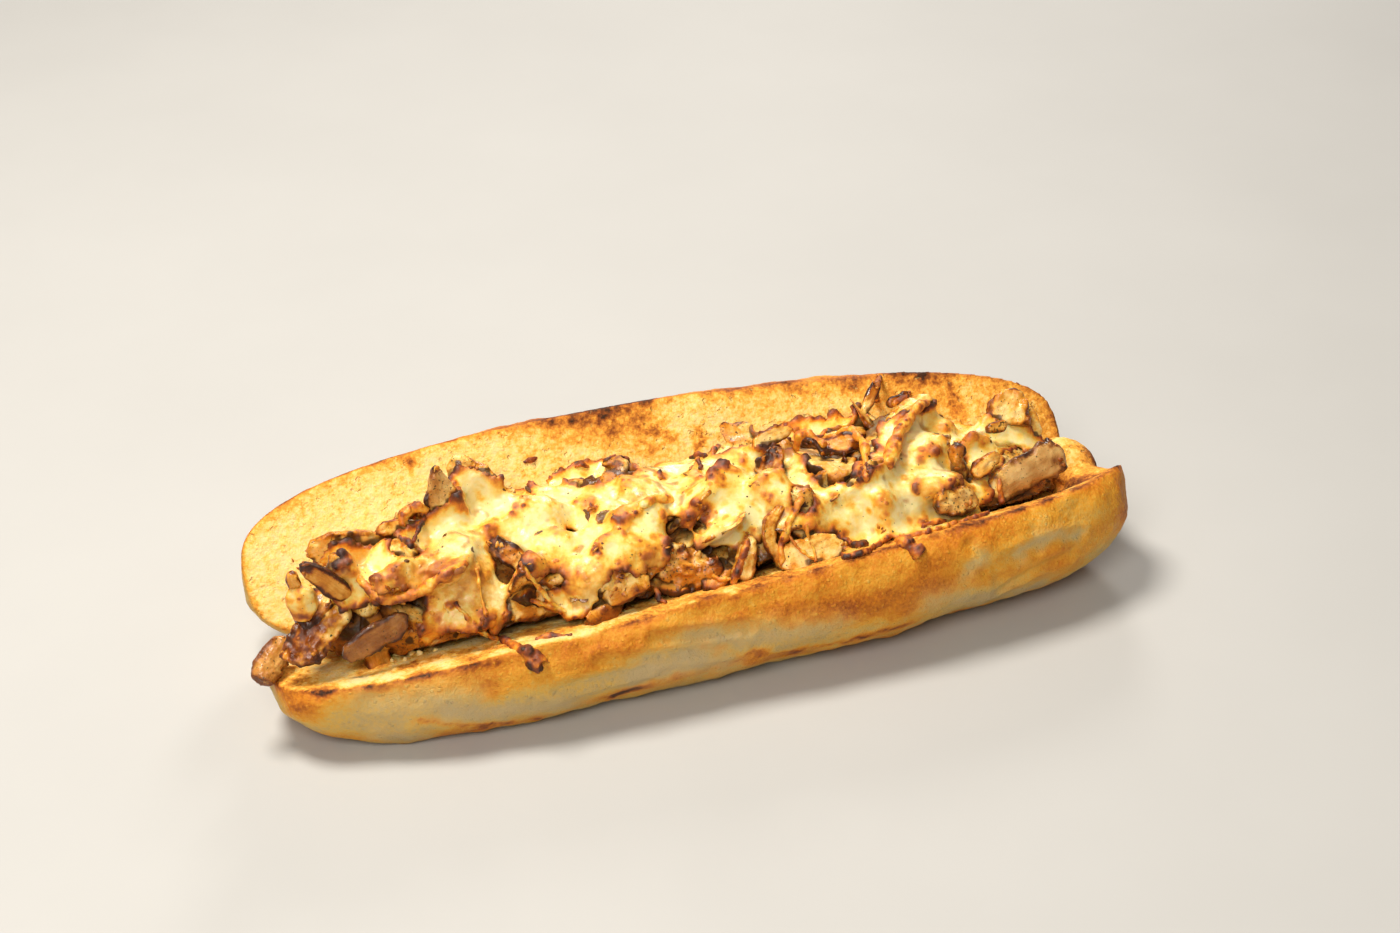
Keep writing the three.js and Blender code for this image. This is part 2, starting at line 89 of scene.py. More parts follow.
# The slices of meat that show one by one, each as it is seen in the photograph. A row has how far
# back its start and its end lie in mm, its thickness in mm, and how brown, how charred and how
# peppered it is, each 0 to 1. Then come the places along it: pixel, width in mm, and how far it is
# rolled away from the eye there, in degrees
SLICES = {
    "left_fold": (-27, -18, 5, 0.22, 0.4, 0, [
        (296, 670, 9, 0), (299, 656, 13, 0), (310, 641, 12.5, -10), (325, 626, 10.5, -20),
        (339, 612, 9, -20),
        (352, 599, 6, 0)]),
    "left_curl": (-21, -18, 3, 0.36, 0.5, 0, [
        (298, 564, 2.5, 10), (307, 569, 4.5, 20), (319, 576, 6.5, 20), (332, 585, 7, 10), (344, 594, 6, 0),
        (354, 603, 3, 0)]),
    "left_scrap": (-26, -12, 5, 0.35, 0.15, 0.3, [
        (262, 686, 7, 0), (266, 671, 9, 10), (276, 654, 9, 20), (288, 637, 7, 30)]),
    # Darker brown here and greyer in STEAMED as a painted shade: it lies in shadow under the loops
    "flat_slice": (-30, -27, 2.4, 0.66, 0.3, 0.1, [
        (340, 660, 4, 20), (354, 651, 7, 25), (371, 640, 8, 25), (391, 628, 8, 20), (412, 612, 6, 10)]),
    "short_slice": (-14, -22, 5, 0.12, 0.2, 0.5, [
        (361, 577, 6, 0), (364, 592, 9, 0), (367, 607, 8.5, 10), (368, 619, 5, 20)]),
    "back_slice_left": (1, 3, 2.6, 0.1, 0.35, 0.2, [
        (301, 555, 5, 30), (324, 549, 10, 30), (350, 546, 11, 35), (380, 546, 11, 35), (406, 546, 8, 30)]),
    "upright_slice": (0, 4, 2.8, 0.22, 1.0, 0.3, [
        (449, 550, 11, 0), (447, 530, 14, 0), (444, 510, 13, 0), (440, 489, 8.5, 10), (436, 473, 4, 20),
        (435, 463, 1.6, 20)]),
    "leaning_slice": (13, 4, 2.8, 0.05, 0.35, 0.3, [
        (445, 464, 5, 10), (458, 469, 10, 10), (472, 481, 13, 15), (484, 496, 14, 20), (497, 514, 12, 20)]),
    "browned_fold": (-25, -14, 6, 0.30, 0.3, 0.1, [
        (368, 590, 6, 0), (387, 586, 10, 10), (408, 580, 12, 20), (430, 572, 12, 20), (450, 562, 10, 10),
        (467, 552, 6, 0)]),
    "dark_chunk": (-13, -22, 4, 0.6, 0.4, 0.4, [
        (487, 539, 3.5, 0), (497, 546, 6, 10), (508, 554, 7, 0), (520, 563, 5.5, -10), (530, 573, 4, 0)]),
    "cheesy_chunk": (-12, 1, 8, 0.1, 0.2, 0.2, [
        (512, 556, 9, 0), (525, 538, 15, 0), (541, 519, 17, 0), (558, 504, 12, 0)]),
    "front_chunk": (-30, -21, 8, 0.22, 0.35, 0.1, [
        (573, 592, 8, 0), (592, 578, 15, 0), (612, 566, 18, 0), (634, 556, 18, 0), (654, 548, 13, 0),
        (668, 541, 6, 0)]),
    "peppered_chunk": (-24, -29, 8, 0.48, 0.28, 0.5, [
        (652, 572, 16, 0), (667, 568, 17, 0), (684, 571, 14, 0), (702, 571, 11, 0), (716, 568, 8, 0),
        (727, 566, 4, 0)]),
    "front_upright": (-35, -27, 3, 0.3, 0.6, 0, [
        (741, 584, 6, 0), (744, 567, 7.5, 10), (748, 549, 5.5, 0), (750, 532, 2.2, 0)]),
    "front_peel": (-33, -21, 2.4, 0.5, 0.4, 0, [
        (783, 572, 1.4, 0), (777, 557, 3, 20), (768, 542, 4.5, 30), (769, 525, 4.5, 10), (778, 510, 4, -10),
        (788, 497, 2.5, 0)]),
    "rim_slice": (-33, -33, 3, 0.0, 0.05, 0.1, [
        (776, 566, 8, 0), (798, 558, 11, 5), (822, 550, 11, 5), (846, 541, 7, 0)]),
    "folded_slice": (-17, -9, 3, 0.3, 0.6, 0.2, [
        (815, 510, 6, 0), (819, 495, 9, 10), (824, 483, 9, 45), (829, 472, 6, 75)]),
    "back_slice": (8, 11, 5, 0.12, 0.2, 0.1, [
        (585, 508, 4, 0), (602, 506, 8, 0), (622, 500, 8, 0), (642, 493, 7, 0), (659, 485, 4, 0)]),
    "peak_slice": (-3, 2, 4.5, 0.62, 0.4, 0.2, [
        (764, 481, 9, 0), (770, 466, 9, 0), (775, 454, 6, 0), (777, 445, 2, 0)]),
    "charred_twist": (2, -7, 2.0, 0.36, 0.35, 0, [
        (798, 447, 3, 0), (808, 441, 5, 60), (822, 448, 6, 120), (838, 446, 7, 150), (852, 440, 6.5, 180),
        (864, 447, 5, 230), (868, 462, 4, 260), (870, 480, 2.5, 300)]),
    "ribbed_curl": (-5, 18, 7, 0.05, 0.3, 0.1, [
        (882, 468, 6, 0), (886, 449, 7.5, 0), (894, 429, 8, 0), (907, 412, 8, 0), (922, 403, 6, 0),
        (933, 402, 3, 0)]),
    "standing_strip": (15, 25, 2.6, 0.65, 0.5, 0, [
        (859, 420, 1.8, 0), (866, 407, 3, 0), (872, 394, 4, 10), (879, 381, 4, 0)]),
    "spiced_cube": (-17, -12, 6, 0.5, 0.4, 0.2, [
        (958, 488, 5, 0), (960, 473, 6.5, 0), (956, 459, 4, 0), (957, 450, 6, 0), (957, 440, 2.2, 0)]),
    "spiced_slice": (-29, -27, 4.5, 0.25, 0.5, 0.5, [
        (932, 506, 6, 0), (946, 502, 9, 0), (962, 500, 8.5, 0), (978, 498, 6, 0)]),
    "long_slice": (-22, -13, 5, 0.25, 0.5, 0.1, [
        (982, 499, 7, 10), (1000, 487, 10, 15), (1018, 475, 11, 15), (1038, 465, 11, 10),
        (1054, 454, 12.5, 0),
        (1062, 448, 9, -10)]),
    "pointed_slice": (6, 12, 3.5, 0.28, 0.7, 0.1, [
        (1005, 426, 16, 0), (1009, 411, 15, 0), (1013, 399, 10, 0), (1015, 386, 3.5, 0)]),
    "pale_slab": (3, 10, 4, 0.0, 0.1, 0, [
        (980, 451, 10, 0), (994, 441, 15, 0), (1010, 431, 18, 0), (1026, 421, 16, 0), (1038, 414, 9, 0)]),
}
# Smaller pieces round them, given the same way. The hidden left_core carries those at the left end
SCRAPS = {
    "left_loop": (-14, -16, 5, 0.40, 0.3, 0, [
        (344, 551, 6, 0), (341, 561, 8.5, 0), (341, 574, 9, 0), (344, 588, 8, 0), (348, 600, 5, 0)]),
    "left_core": (-20, -10, 11, 0.45, 0.4, 0.1, [
        (300, 636, 9, 0), (312, 621, 12, 0), (330, 606, 14, 0), (352, 590, 14, 0), (372, 584, 9, 0)]),
    "left_tip": (-18, -18, 3, 0.3, 0.5, 0, [(293, 571, 2.5, 0), (292, 579, 4, 0), (296, 588, 4, 0)]),
    "golden_chunk": (-8, -13, 7, 0.05, 0.1, 0.1, [
        (370, 566, 9, 0), (386, 561, 11, 0), (402, 557, 11, 0), (420, 552, 8, 0)]),
    "back_ridge": (-3, 3, 3.5, 0.15, 0.3, 0.1, [
        (372, 535, 4, 0), (392, 527, 5, 0), (412, 528, 5, 0), (430, 537, 4, 0), (441, 549, 3, 0)]),
    "under_front": (-33, -31, 4, 0.45, 0.2, 0, [
        (600, 601, 4, 0), (616, 593, 7, 10), (634, 585, 7.5, 10), (652, 576, 5, 0)]),
    "inner_curl": (-4, -2, 3, 0.25, 0.5, 0.3, [(803, 471, 3, 0), (820, 468, 5, 0), (843, 463, 3.5, 0)]),
    "second_strip": (21, 24, 2, 0.6, 0.5, 0, [
        (886, 408, 2, 0), (893, 401, 3, 20), (901, 398, 3, 20), (909, 390, 2, 0)]),
    "back_end": (6, 9, 3, 0.2, 0.5, 0.1, [
        (750, 448, 3, 0), (764, 440, 5, 0), (780, 433, 5, 0), (793, 428, 3, 0)]),
    "crisp_back": (16, 17, 2.5, 0.45, 0.4, 0, [
        (556, 490, 2.5, 0), (575, 484, 4, 10), (596, 486, 3.5, 0), (619, 486, 2, 0)]),
    "speckled": (-1, 2, 3, 0.25, 0.2, 0.9, [(985, 430, 2, 0), (995, 427, 4, 0), (1006, 424, 2, 0)]),
    "orange_wing": (-6, -3, 3, 0.3, 0.4, 0, [
        (962, 440, 3, 0), (974, 441, 6, 20), (985, 446, 5, 20), (993, 452, 2.5, 0)]),
    "low_middle": (-27, -24, 5, 0.5, 0.3, 0.3, [
        (500, 612, 5, 0), (520, 608, 8, 0), (542, 606, 7, 0), (556, 602, 4, 0)]),
    "low_left": (-29, -26, 4, 0.4, 0.2, 0.2, [
        (448, 628, 4, 0), (466, 620, 7, 0), (486, 612, 7, 0), (500, 606, 4, 0)]),
    "behind_left": (8, 10, 3, 0.2, 0.4, 0.1, [
        (398, 528, 2.5, 0), (403, 516, 4, 20), (413, 508, 4, 40), (424, 512, 3, 20)]),
    "right_fold": (-20, -14, 3, 0.2, 0.3, 0.1, [
        (972, 480, 3, 0), (980, 468, 6, 20), (990, 460, 5, 10), (1000, 456, 3, 0)]),
    "middle_fold": (-17, -14, 4, 0.3, 0.4, 0.1, [
        (846, 500, 3, 0), (858, 492, 6, 20), (874, 488, 6, 10), (888, 484, 3, 0)]),
    "middle_brow": (-16, -12, 4, 0.3, 0.4, 0.1, [
        (612, 522, 3, 0), (630, 514, 6, 20), (648, 510, 5, 10), (664, 512, 3, 0)]),
}
# Lumps of cheese that hang on them
LUMPS = {
    "left_lump": (-18, -20, 7, 0.0, [
        (306, 584, 7, 0), (303, 592, 9, 0), (302, 602, 10, 0), (304, 612, 8, 0), (308, 620, 5, 0)]),
}
# Which of them lie smooth
SMOOTH = {"pale_slab", "long_slice", "rim_slice", "back_slice", "flat_slice", "left_curl", "under_front"}
# Which of them are greyer, as meat is where it was steamed rather than grilled, and how much
STEAMED = {
    "upright_slice": 0.6, "flat_slice": 0.65, "long_slice": 0.8, "left_scrap": 0.5, "spiced_slice": 0.4,
    "back_slice": 0.2,
}
# Which of them melted cheese and fat have coated all over, and how much; below 0, it stays off them
COATED = {
    "left_fold": 0.3, "left_curl": -0.7, "left_loop": 0.2, "left_scrap": 0.2, "browned_fold": 0.7,
    "short_slice": 0.8,
    "golden_chunk": 0.9, "front_chunk": 0.5, "rim_slice": 0.6, "pale_slab": 0.6, "leaning_slice": 0.8,
    "folded_slice": 0.5,
    "cheesy_chunk": 0.6, "back_slice": 0.5, "under_front": 0.1, "ribbed_curl": 0.7, "front_upright": 0.4,
    "front_peel": 0.3, "pointed_slice": 0.3,
}
# Which of them no cheese lies over
BARE = {
    "left_curl", "left_scrap", "flat_slice", "dark_chunk", "front_upright", "front_peel",
    "rim_slice", "back_slice", "peak_slice", "charred_twist", "standing_strip", "spiced_cube",
    "spiced_slice",
    "long_slice", "pointed_slice", "inner_curl", "second_strip", "speckled", "peppered_chunk",
    "left_tip", "right_fold", "under_front",
}


# Working with the pieces

def only(ob):
    """Selects this piece and nothing else."""
    bpy.ops.object.select_all(action="DESELECT")
    ob.select_set(True)
    bpy.context.view_layer.objects.active = ob


def finished(ob, kind, **settings):
    """Adds a modifier and applies it."""
    only(ob)
    modifier = ob.modifiers.new(kind.lower(), kind)
    for name, value in settings.items():
        setattr(modifier, name, value)
    bpy.ops.object.modifier_apply(modifier=modifier.name)
    return ob


def edited(ob, step, **settings):
    """Runs one of the mesh operators on the whole piece."""
    only(ob)
    bpy.ops.object.mode_set(mode="EDIT")
    bpy.ops.mesh.select_all(action="SELECT")
    step(**settings)
    bpy.ops.object.mode_set(mode="OBJECT")
    return ob


def added(step, **settings):
    """A new piece, made by one of the operators that add a plain shape."""
    bpy.ops.object.select_all(action="DESELECT")
    step(**settings)
    bpy.ops.object.transform_apply(location=True, rotation=True, scale=True)
    return bpy.context.object


def merged_copy(node, name):
    """A copy of one of the frame's nodes, its loose triangles merged."""
    ob = bpy.data.objects.new(name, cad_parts[node].data.copy())
    bpy.context.scene.collection.objects.link(ob)
    ob.data.materials.clear()
    return edited(ob, bpy.ops.mesh.remove_doubles, threshold=MERGED)


def copied(ob, name):
    """A copy with its own mesh."""
    twin = bpy.data.objects.new(name, ob.data.copy())
    bpy.context.scene.collection.objects.link(twin)
    return twin


def joined(pieces, name):
    """The pieces as one."""
    bpy.ops.object.select_all(action="DESELECT")
    for piece in pieces:
        piece.select_set(True)
    bpy.context.view_layer.objects.active = pieces[0]
    bpy.ops.object.join()
    pieces[0].name = name
    return pieces[0]


def remeshed(ob, grain, smoothing=0):
    """Gives the piece an even skin of that grain, smoothed that many times."""
    finished(ob, "REMESH", mode="VOXEL", voxel_size=grain)
    if smoothing:
        finished(ob, "SMOOTH", factor=0.5, iterations=smoothing)
    return ob


def placed(ob, material):
    """The last steps for a finished piece of food."""
    ob.data.materials.clear()
    ob.data.materials.append(material)
    only(ob)
    bpy.ops.object.shade_smooth()
    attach(ob, "root")
    return ob


def read(items, name, wide=1, kind=np.float32):
    """One value of every item; rows of them, where the value has more than one number."""
    values = np.empty(len(items) * wide, kind)
    items.foreach_get(name, values)
    return values.reshape(-1, wide) if wide > 1 else values


def points(ob):
    return read(ob.data.vertices, "co", 3).astype(float)


def set_points(ob, co):
    ob.data.vertices.foreach_set("co", co.astype(np.float32).ravel())
    ob.data.update()


def normals(ob):
    return read(ob.data.vertices, "normal", 3).astype(float)


def painted_on(ob, name):
    return read(ob.data.attributes[name].data, "value").astype(float)


def spread_out(ob, values, times):
    """Values at the points, evened out with their neighbours that many times."""
    a, b = read(ob.data.edges, "vertices", 2, np.int32).T
    count = np.bincount(a, minlength=len(values)) + np.bincount(b, minlength=len(values))
    out = np.array(values, float).reshape(len(values), -1)
    for _ in range(times):
        for column in range(out.shape[1]):
            total = np.bincount(a, out[b, column], len(out)) + np.bincount(b, out[a, column], len(out))
            out[:, column] = 0.5 * out[:, column] + 0.5 * total / np.maximum(count, 1)
    return out.reshape(np.shape(values))


def paint(ob, name, values):
    """A value at every point, or one for them all, for the material to read."""
    layer = ob.data.attributes.get(name) or ob.data.attributes.new(name, "FLOAT", "POINT")
    values = np.broadcast_to(values, len(ob.data.vertices))
    layer.data.foreach_set("value", np.clip(values, 0, 1).astype(np.float32))


def group(ob, name, weights):
    """A vertex group of these weights, in tenths, for a modifier to read."""
    made = ob.vertex_groups.new(name=name)
    for tenths in range(1, 11):
        chosen = np.flatnonzero(np.round(np.clip(weights, 0, 1) * 10) == tenths)
        made.add(chosen.tolist(), tenths / 10, "REPLACE")
    return name


def roughened(ob, size, height, weights=None, middle=0.5):
    """Pushes the surface in and out by an even noise of that size."""
    texture = bpy.data.textures.new(f"{ob.name}_clouds", "CLOUDS")
    texture.noise_scale = size
    settings = {}
    if weights is not None:
        settings["vertex_group"] = group(ob, "rough", weights)
    finished(ob, "DISPLACE", texture=texture, strength=height, mid_level=middle, **settings)
    ob.vertex_groups.clear()
    return ob


def unevenness(co, wave, seed=0.0):
    """Smooth noise between about -1 and 1 at each point."""
    shift = Vector((seed, seed * 1.7, seed * 0.6))
    return np.array([noise.noise(Vector(p) / wave + shift) for p in co])


def patterns(a, b, seed, rows):
    """The same over a flat slice, once for each row of waves along it, waves across it and a seed."""
    return [np.array([noise.noise(Vector((i * along, j * across, seed + more))) for i, j in zip(a, b)])
            for along, across, more in rows]


def step_up(values, low, high):
    """0 below the one, 1 above the other, and a soft step between them."""
    t = np.clip((values - low) / (high - low), 0, 1)
    return t * t * (3 - 2 * t)


def surface(ob):
    """What a ray through the photograph can hit."""
    return BVHTree.FromPolygons([v.co for v in ob.data.vertices], [p.vertices for p in ob.data.polygons])


def surface_of(pieces):
    """The same of several pieces together."""
    whole = joined([copied(piece, f"ray_{piece.name}") for piece in pieces], "ray_target")
    tree = surface(whole)
    bpy.data.objects.remove(whole)
    return tree


def camera_ray(px, py):
    """The way from the camera through a pixel of the photograph."""
    back = CAMERA_BACK.normalized()
    right = Vector((0, 0, 1)).cross(back).normalized()
    up = back.cross(right)
    across = (px - PHOTO_WIDE / 2) / PHOTO_WIDE * SENSOR / LENS
    above = (PHOTO_HIGH / 2 - py) / PHOTO_WIDE * SENSOR / LENS
    return (right * across + up * above - back).normalized()


def seen_at(tree, px, py):
    """The place on a surface that shows at a pixel of the photograph, and the way it faces."""
    hit, way, _, _ = tree.ray_cast(CAMERA_AT, camera_ray(px, py))
    return (hit, way) if hit else (None, None)


def spots_on(tree, rows):
    """Rows of a pixel, a radius in mm and an amount, as places on a surface."""
    found = ((seen_at(tree, px, py)[0], radius * MM, amount) for px, py, radius, amount in rows)
    return [row for row in found if row[0]]


def lookup(places, numbers=None):
    """A search for the nearest of these places, which are known by their numbers."""
    tree = KDTree(len(places))
    for number, place in zip(range(len(places)) if numbers is None else numbers, places):
        tree.insert(place, int(number))
    tree.balance()
    return tree


# Painted spots: the width of the waves in their outline and how far these go, in mm, how many radii they
# reach, and how strong and how steep their firm middle and their wide fringe are
WARPS = [(4, 2.0), (1.4, 0.7)]
SPOT_REACH = 2.4
SPOT_PARTS = [(0.55, 1.8), (0.35, 0.5)]


def warped(co):
    """The points moved about a little, so that what is painted by distance gets a ragged outline."""
    out = []
    for p in co:
        at = Vector(p)
        out.append(sum((noise.noise_vector(at / (size * MM)) * shift * MM for size, shift in WARPS), at))
    return out


def near_to(co, places):
    """How much the places cover each point: rows of a place, a radius and an amount."""
    total = np.zeros(len(co))
    tree = lookup(warped(co))
    for place, radius, amount in places:
        for _, i, away in tree.find_range(place, radius * SPOT_REACH):
            share = (away / radius) ** 2
            total[i] += amount * sum(part * math.exp(-share * fall) for part, fall in SPOT_PARTS)
    return total


# Finishes

class Finish:
    """A material put together from a few nodes."""

    def __init__(self, name):
        self.material = bpy.data.materials.new(name)
        self.material.use_nodes = True
        self.tree = self.material.node_tree
        self.shader = self.tree.nodes["Principled BSDF"]
        self.at = self.add("ShaderNodeTexCoord").outputs["Object"]

    def add(self, kind, **settings):
        node = self.tree.nodes.new(kind)
        for name, value in settings.items():
            setattr(node, name, value)
        return node

    def link(self, source, target):
        self.tree.links.new(source, target)

    def put(self, value, socket):
        if isinstance(value, bpy.types.NodeSocket):
            self.link(value, socket)
        elif isinstance(value, tuple) and len(value) == 3 and socket.type == "RGBA":
            socket.default_value = (*value, 1)
        else:
            socket.default_value = value

    def painted(self, name):
        return self.add("ShaderNodeAttribute", attribute_name=name).outputs["Fac"]

    def noise(self, size, detail=3.0, rough=0.55, at=None, twist=0.0):
        node = self.add("ShaderNodeTexNoise")
        self.link(at or self.at, node.inputs["Vector"])
        node.inputs["Scale"].default_value = 1 / size
        node.inputs["Detail"].default_value = detail
        node.inputs["Roughness"].default_value = rough
        node.inputs["Distortion"].default_value = twist
        return node.outputs["Fac"]

    def cells(self, size):
        node = self.add("ShaderNodeTexVoronoi")
        self.link(self.at, node.inputs["Vector"])
        node.inputs["Scale"].default_value = 1 / size
        return node.outputs["Distance"]

    def sum(self, a, b, operation="ADD", clamp=False):
        node = self.add("ShaderNodeMath", operation=operation, use_clamp=clamp)
        self.put(a, node.inputs[0])
        self.put(b, node.inputs[1])
        return node.outputs[0]

    def scaled(self, value, gain, offset=0.0):
        node = self.add("ShaderNodeMath", operation="MULTIPLY_ADD")
        self.put(value, node.inputs[0])
        node.inputs[1].default_value = gain
        node.inputs[2].default_value = offset
        return node.outputs[0]

    def between(self, value, low, high, to_low=0.0, to_high=1.0):
        node = self.add("ShaderNodeMapRange", interpolation_type="SMOOTHSTEP")
        self.put(value, node.inputs["Value"])
        for name, number in (("From Min", low), ("From Max", high), ("To Min", to_low), ("To Max", to_high)):
            node.inputs[name].default_value = number
        return node.outputs["Result"]

    def ramp(self, value, stops):
        node = self.add("ShaderNodeValToRGB")
        self.put(value, node.inputs["Fac"])
        elements = node.color_ramp.elements
        while len(elements) < len(stops):
            elements.new(1)
        for element, (place, colour) in zip(elements, stops):
            element.position = place
            element.color = (*colour, 1)
        return node.outputs["Color"]

    def varied(self, value, uneven, gain, clamp=False):
        """The value made uneven by a noise, up and down alike."""
        return self.sum(value, self.scaled(uneven, gain, -gain / 2), clamp=clamp)

    def tinted(self, colour, value, low, high, amount, shade):
        """The colour, with that much of a shade where the value is high."""
        return self.mix(self.between(value, low, high, 0, amount), colour, shade)

    def mix(self, share, a, b):
        node = self.add("ShaderNodeMix", data_type="RGBA")
        self.put(share, node.inputs["Factor"])
        self.put(a, node.inputs[6])
        self.put(b, node.inputs[7])
        return node.outputs[2]

    def bump(self, heights):
        """Rows of a height and how deep it goes, one over the other."""
        way = None
        for height, depth in heights:
            node = self.add("ShaderNodeBump")
            node.inputs["Distance"].default_value = depth
            self.link(height, node.inputs["Height"])
            if way:
                self.link(way, node.inputs["Normal"])
            way = node.outputs["Normal"]
        self.link(way, self.shader.inputs["Normal"])

    def done(self, colour, roughness, **constants):
        self.put(colour, self.shader.inputs["Base Color"])
        self.put(roughness, self.shader.inputs["Roughness"])
        for name, value in constants.items():
            self.shader.inputs[name.replace("_", " ")].default_value = value
        return self.material


# Colours from unbrowned (0) to charred (1)
CRUST_SHADES = [
    # The unbrowned end is kept dim, a painted shade: it shows mostly on the lower near crust
    (0.0, (0.52, 0.36, 0.14)),
    (0.2, (0.66, 0.40, 0.085)),
    (0.42, (0.72, 0.32, 0.028)),
    (0.60, (0.62, 0.20, 0.012)),
    (0.78, (0.36, 0.085, 0.008)),
    (1.0, (0.045, 0.016, 0.006)),
]
CRUMB_SHADES = [
    (0.0, (0.89, 0.65, 0.28)),
    (0.20, (0.92, 0.60, 0.17)),
    (0.38, (0.86, 0.40, 0.05)),
    (0.56, (0.62, 0.22, 0.025)),
    (0.78, (0.26, 0.068, 0.011)),
    (1.0, (0.05, 0.018, 0.007)),
]
MEAT_SHADES = [
    (0.0, (0.93, 0.66, 0.25)),
    (0.16, (0.86, 0.45, 0.085)),
    (0.34, (0.66, 0.25, 0.020)),
    (0.54, (0.42, 0.115, 0.007)),
    (0.76, (0.18, 0.036, 0.004)),
    (1.0, (0.05, 0.014, 0.005)),
]
CHEESE_SHADES = [
    (0.0, (0.92, 0.74, 0.34)),
    (0.18, (0.93, 0.63, 0.15)),
    (0.34, (0.88, 0.41, 0.035)),
    (0.54, (0.64, 0.19, 0.012)),
    (0.74, (0.27, 0.055, 0.007)),
    (1.0, (0.05, 0.014, 0.006)),
]
FILM_SHADES = [
    (0.0, (0.94, 0.70, 0.27)),
    (0.28, (0.90, 0.53, 0.10)),
    (0.52, (0.74, 0.28, 0.020)),
    (1.0, (0.34, 0.08, 0.006)),
]
STEAMED_SHADES = [
    (0.0, (0.66, 0.44, 0.18)),
    (0.35, (0.40, 0.20, 0.06)),
    (0.65, (0.21, 0.08, 0.02)),
    (1.0, (0.05, 0.016, 0.008)),
]
THIN_SHADES = [
    (0.30, (0.90, 0.61, 0.18)),
    (0.52, (0.75, 0.35, 0.042)),
    (0.74, (0.40, 0.11, 0.010)),
]
# Single colours: pale crust, kept dim as a painted shade of the lower crust and also giving a painted
# highlight on a fold; painted shade in the pores of the crumb; clear cheese; pepper and herbs on the meat
# and on the cheese; and painted shade in the hollows
PALE_SHADE, PORE_SHADOW, CLEAR_SHADE = (0.54, 0.41, 0.23), (0.60, 0.44, 0.16), (0.70, 0.58, 0.34)
PEPPER_SHADE, HERB_SHADE = (0.06, 0.035, 0.010), (0.12, 0.09, 0.03)
HOLLOW_SHADOW_CRUMB, HOLLOW_SHADOW_MEAT, HOLLOW_SHADOW_CHEESE = (0.30, 0.12, 0.02), (0.07, 0.022, 0.005), (0.34, 0.13, 0.02)
# A near-black painted shadow for the deep gaps in the filling
GAP_SHADOW = (0.035, 0.014, 0.005)
# Light goes this far into the food
SOFT_DEPTH = 0.004


def bread_finish():
    """Baked crust outside and toasted crumb on the cut faces."""
    f = Finish("bread")
    crumb = f.painted("crumb")
    bake = f.painted("bake")
    crust_bake = f.varied(f.varied(bake, f.noise(11 * MM, 3), 0.50), f.noise(1.2 * MM, 4), 0.50)
    blisters = f.between(f.cells(2.6 * MM), 0.14, 0.24, 1, 0)
    crust_bake = f.sum(crust_bake, f.scaled(blisters, -0.10), clamp=True)
    crust = f.mix(f.scaled(f.painted("pale"), 0.5), f.ramp(crust_bake, CRUST_SHADES), PALE_SHADE)
    toast = f.varied(bake, f.noise(6 * MM, 4, 0.65), 0.6)
    toast = f.varied(toast, f.noise(1.7 * MM, 4, 0.7), 1.1, clamp=True)
    # The pores are darker: painted shade in pits that are only bumps
    pores = f.noise(2.4 * MM, 2, 0.5)
    inside = f.mix(f.between(pores, 0.26, 0.36, 0.4, 0), f.ramp(toast, CRUMB_SHADES), PORE_SHADOW)
    # Painted shade where the bread is closed in by the filling
    colour = f.tinted(f.mix(crumb, crust, inside), f.painted("hollow"), 0.72, 1.0, 0.4, HOLLOW_SHADOW_CRUMB)
    pitted = f.between(pores, 0.26, 0.36)
    f.bump([(f.noise(0.7 * MM, 3), 0.30 * MM), (f.sum(pitted, crumb, "MULTIPLY"), 0.4 * MM),
            (f.noise(3 * MM, 3), 0.5 * MM), (blisters, 0.15 * MM)])
    return f.done(colour, f.scaled(crumb, 0.3, 0.5), Subsurface_Weight=0.1, Subsurface_Scale=SOFT_DEPTH,
                  Specular_IOR_Level=0.2)


def meat_finish():
    """Grilled meat: grain along the slice, brown and charred where it stood up to the heat, with
    a film of melted cheese and fat near the cheese, and painted shade in its hollows and gaps."""
    f = Finish("grilled_meat")
    along = f.add("ShaderNodeAttribute", attribute_name="grain").outputs["Vector"]
    fibres = f.noise(1.0, 3, 0.5, at=along, twist=1.2)
    mottle = f.noise(4.5 * MM, 4, 0.6)
    fine = f.noise(0.9 * MM, 3)
    shade = f.varied(f.varied(f.scaled(f.painted("tone"), 0.75, 0.03), mottle, 0.6), fibres, 0.26)
    rim = f.between(f.varied(f.painted("edge"), mottle, 0.4), 0.62, 0.98, 0, 0.22)
    burnt = f.between(f.varied(f.painted("char"), mottle, 0.8), 0.2, 1.0, 0, 0.6)
    shade = f.sum(f.sum(shade, rim), burnt, clamp=True)
    colour = f.mix(f.painted("steamed"), f.ramp(shade, MEAT_SHADES), f.ramp(shade, STEAMED_SHADES))
    coated = f.varied(f.painted("film"), f.noise(3 * MM, 4, 0.6), 1.2)
    coating = f.varied(f.sum(f.scaled(mottle, 2.2, -0.85), f.sum(burnt, rim)), fine, 0.5)
    colour = f.tinted(colour, coated, 0.22, 0.6, 0.75, f.ramp(coating, FILM_SHADES))
    # Painted shade in the hollows, and a near-black painted shadow in the deep gaps
    colour = f.tinted(colour, f.painted("hollow"), 0.42, 0.88, 0.9, HOLLOW_SHADOW_MEAT)
    colour = f.tinted(colour, f.painted("deep"), 0.3, 0.55, 0.93, GAP_SHADOW)
    specks = f.sum(f.noise(0.9 * MM, 2), f.scaled(f.painted("pepper"), 0.16))
    colour = f.tinted(colour, specks, 0.66, 0.74, 0.9, PEPPER_SHADE)
    f.bump([(fibres, 0.16 * MM), (fine, 0.12 * MM), (mottle, 0.4 * MM)])
    return f.done(colour, f.between(f.noise(5 * MM, 3), 0.38, 0.60, 0.2, 0.48), Subsurface_Weight=0.12,
                  Subsurface_Scale=SOFT_DEPTH, Specular_IOR_Level=0.4)


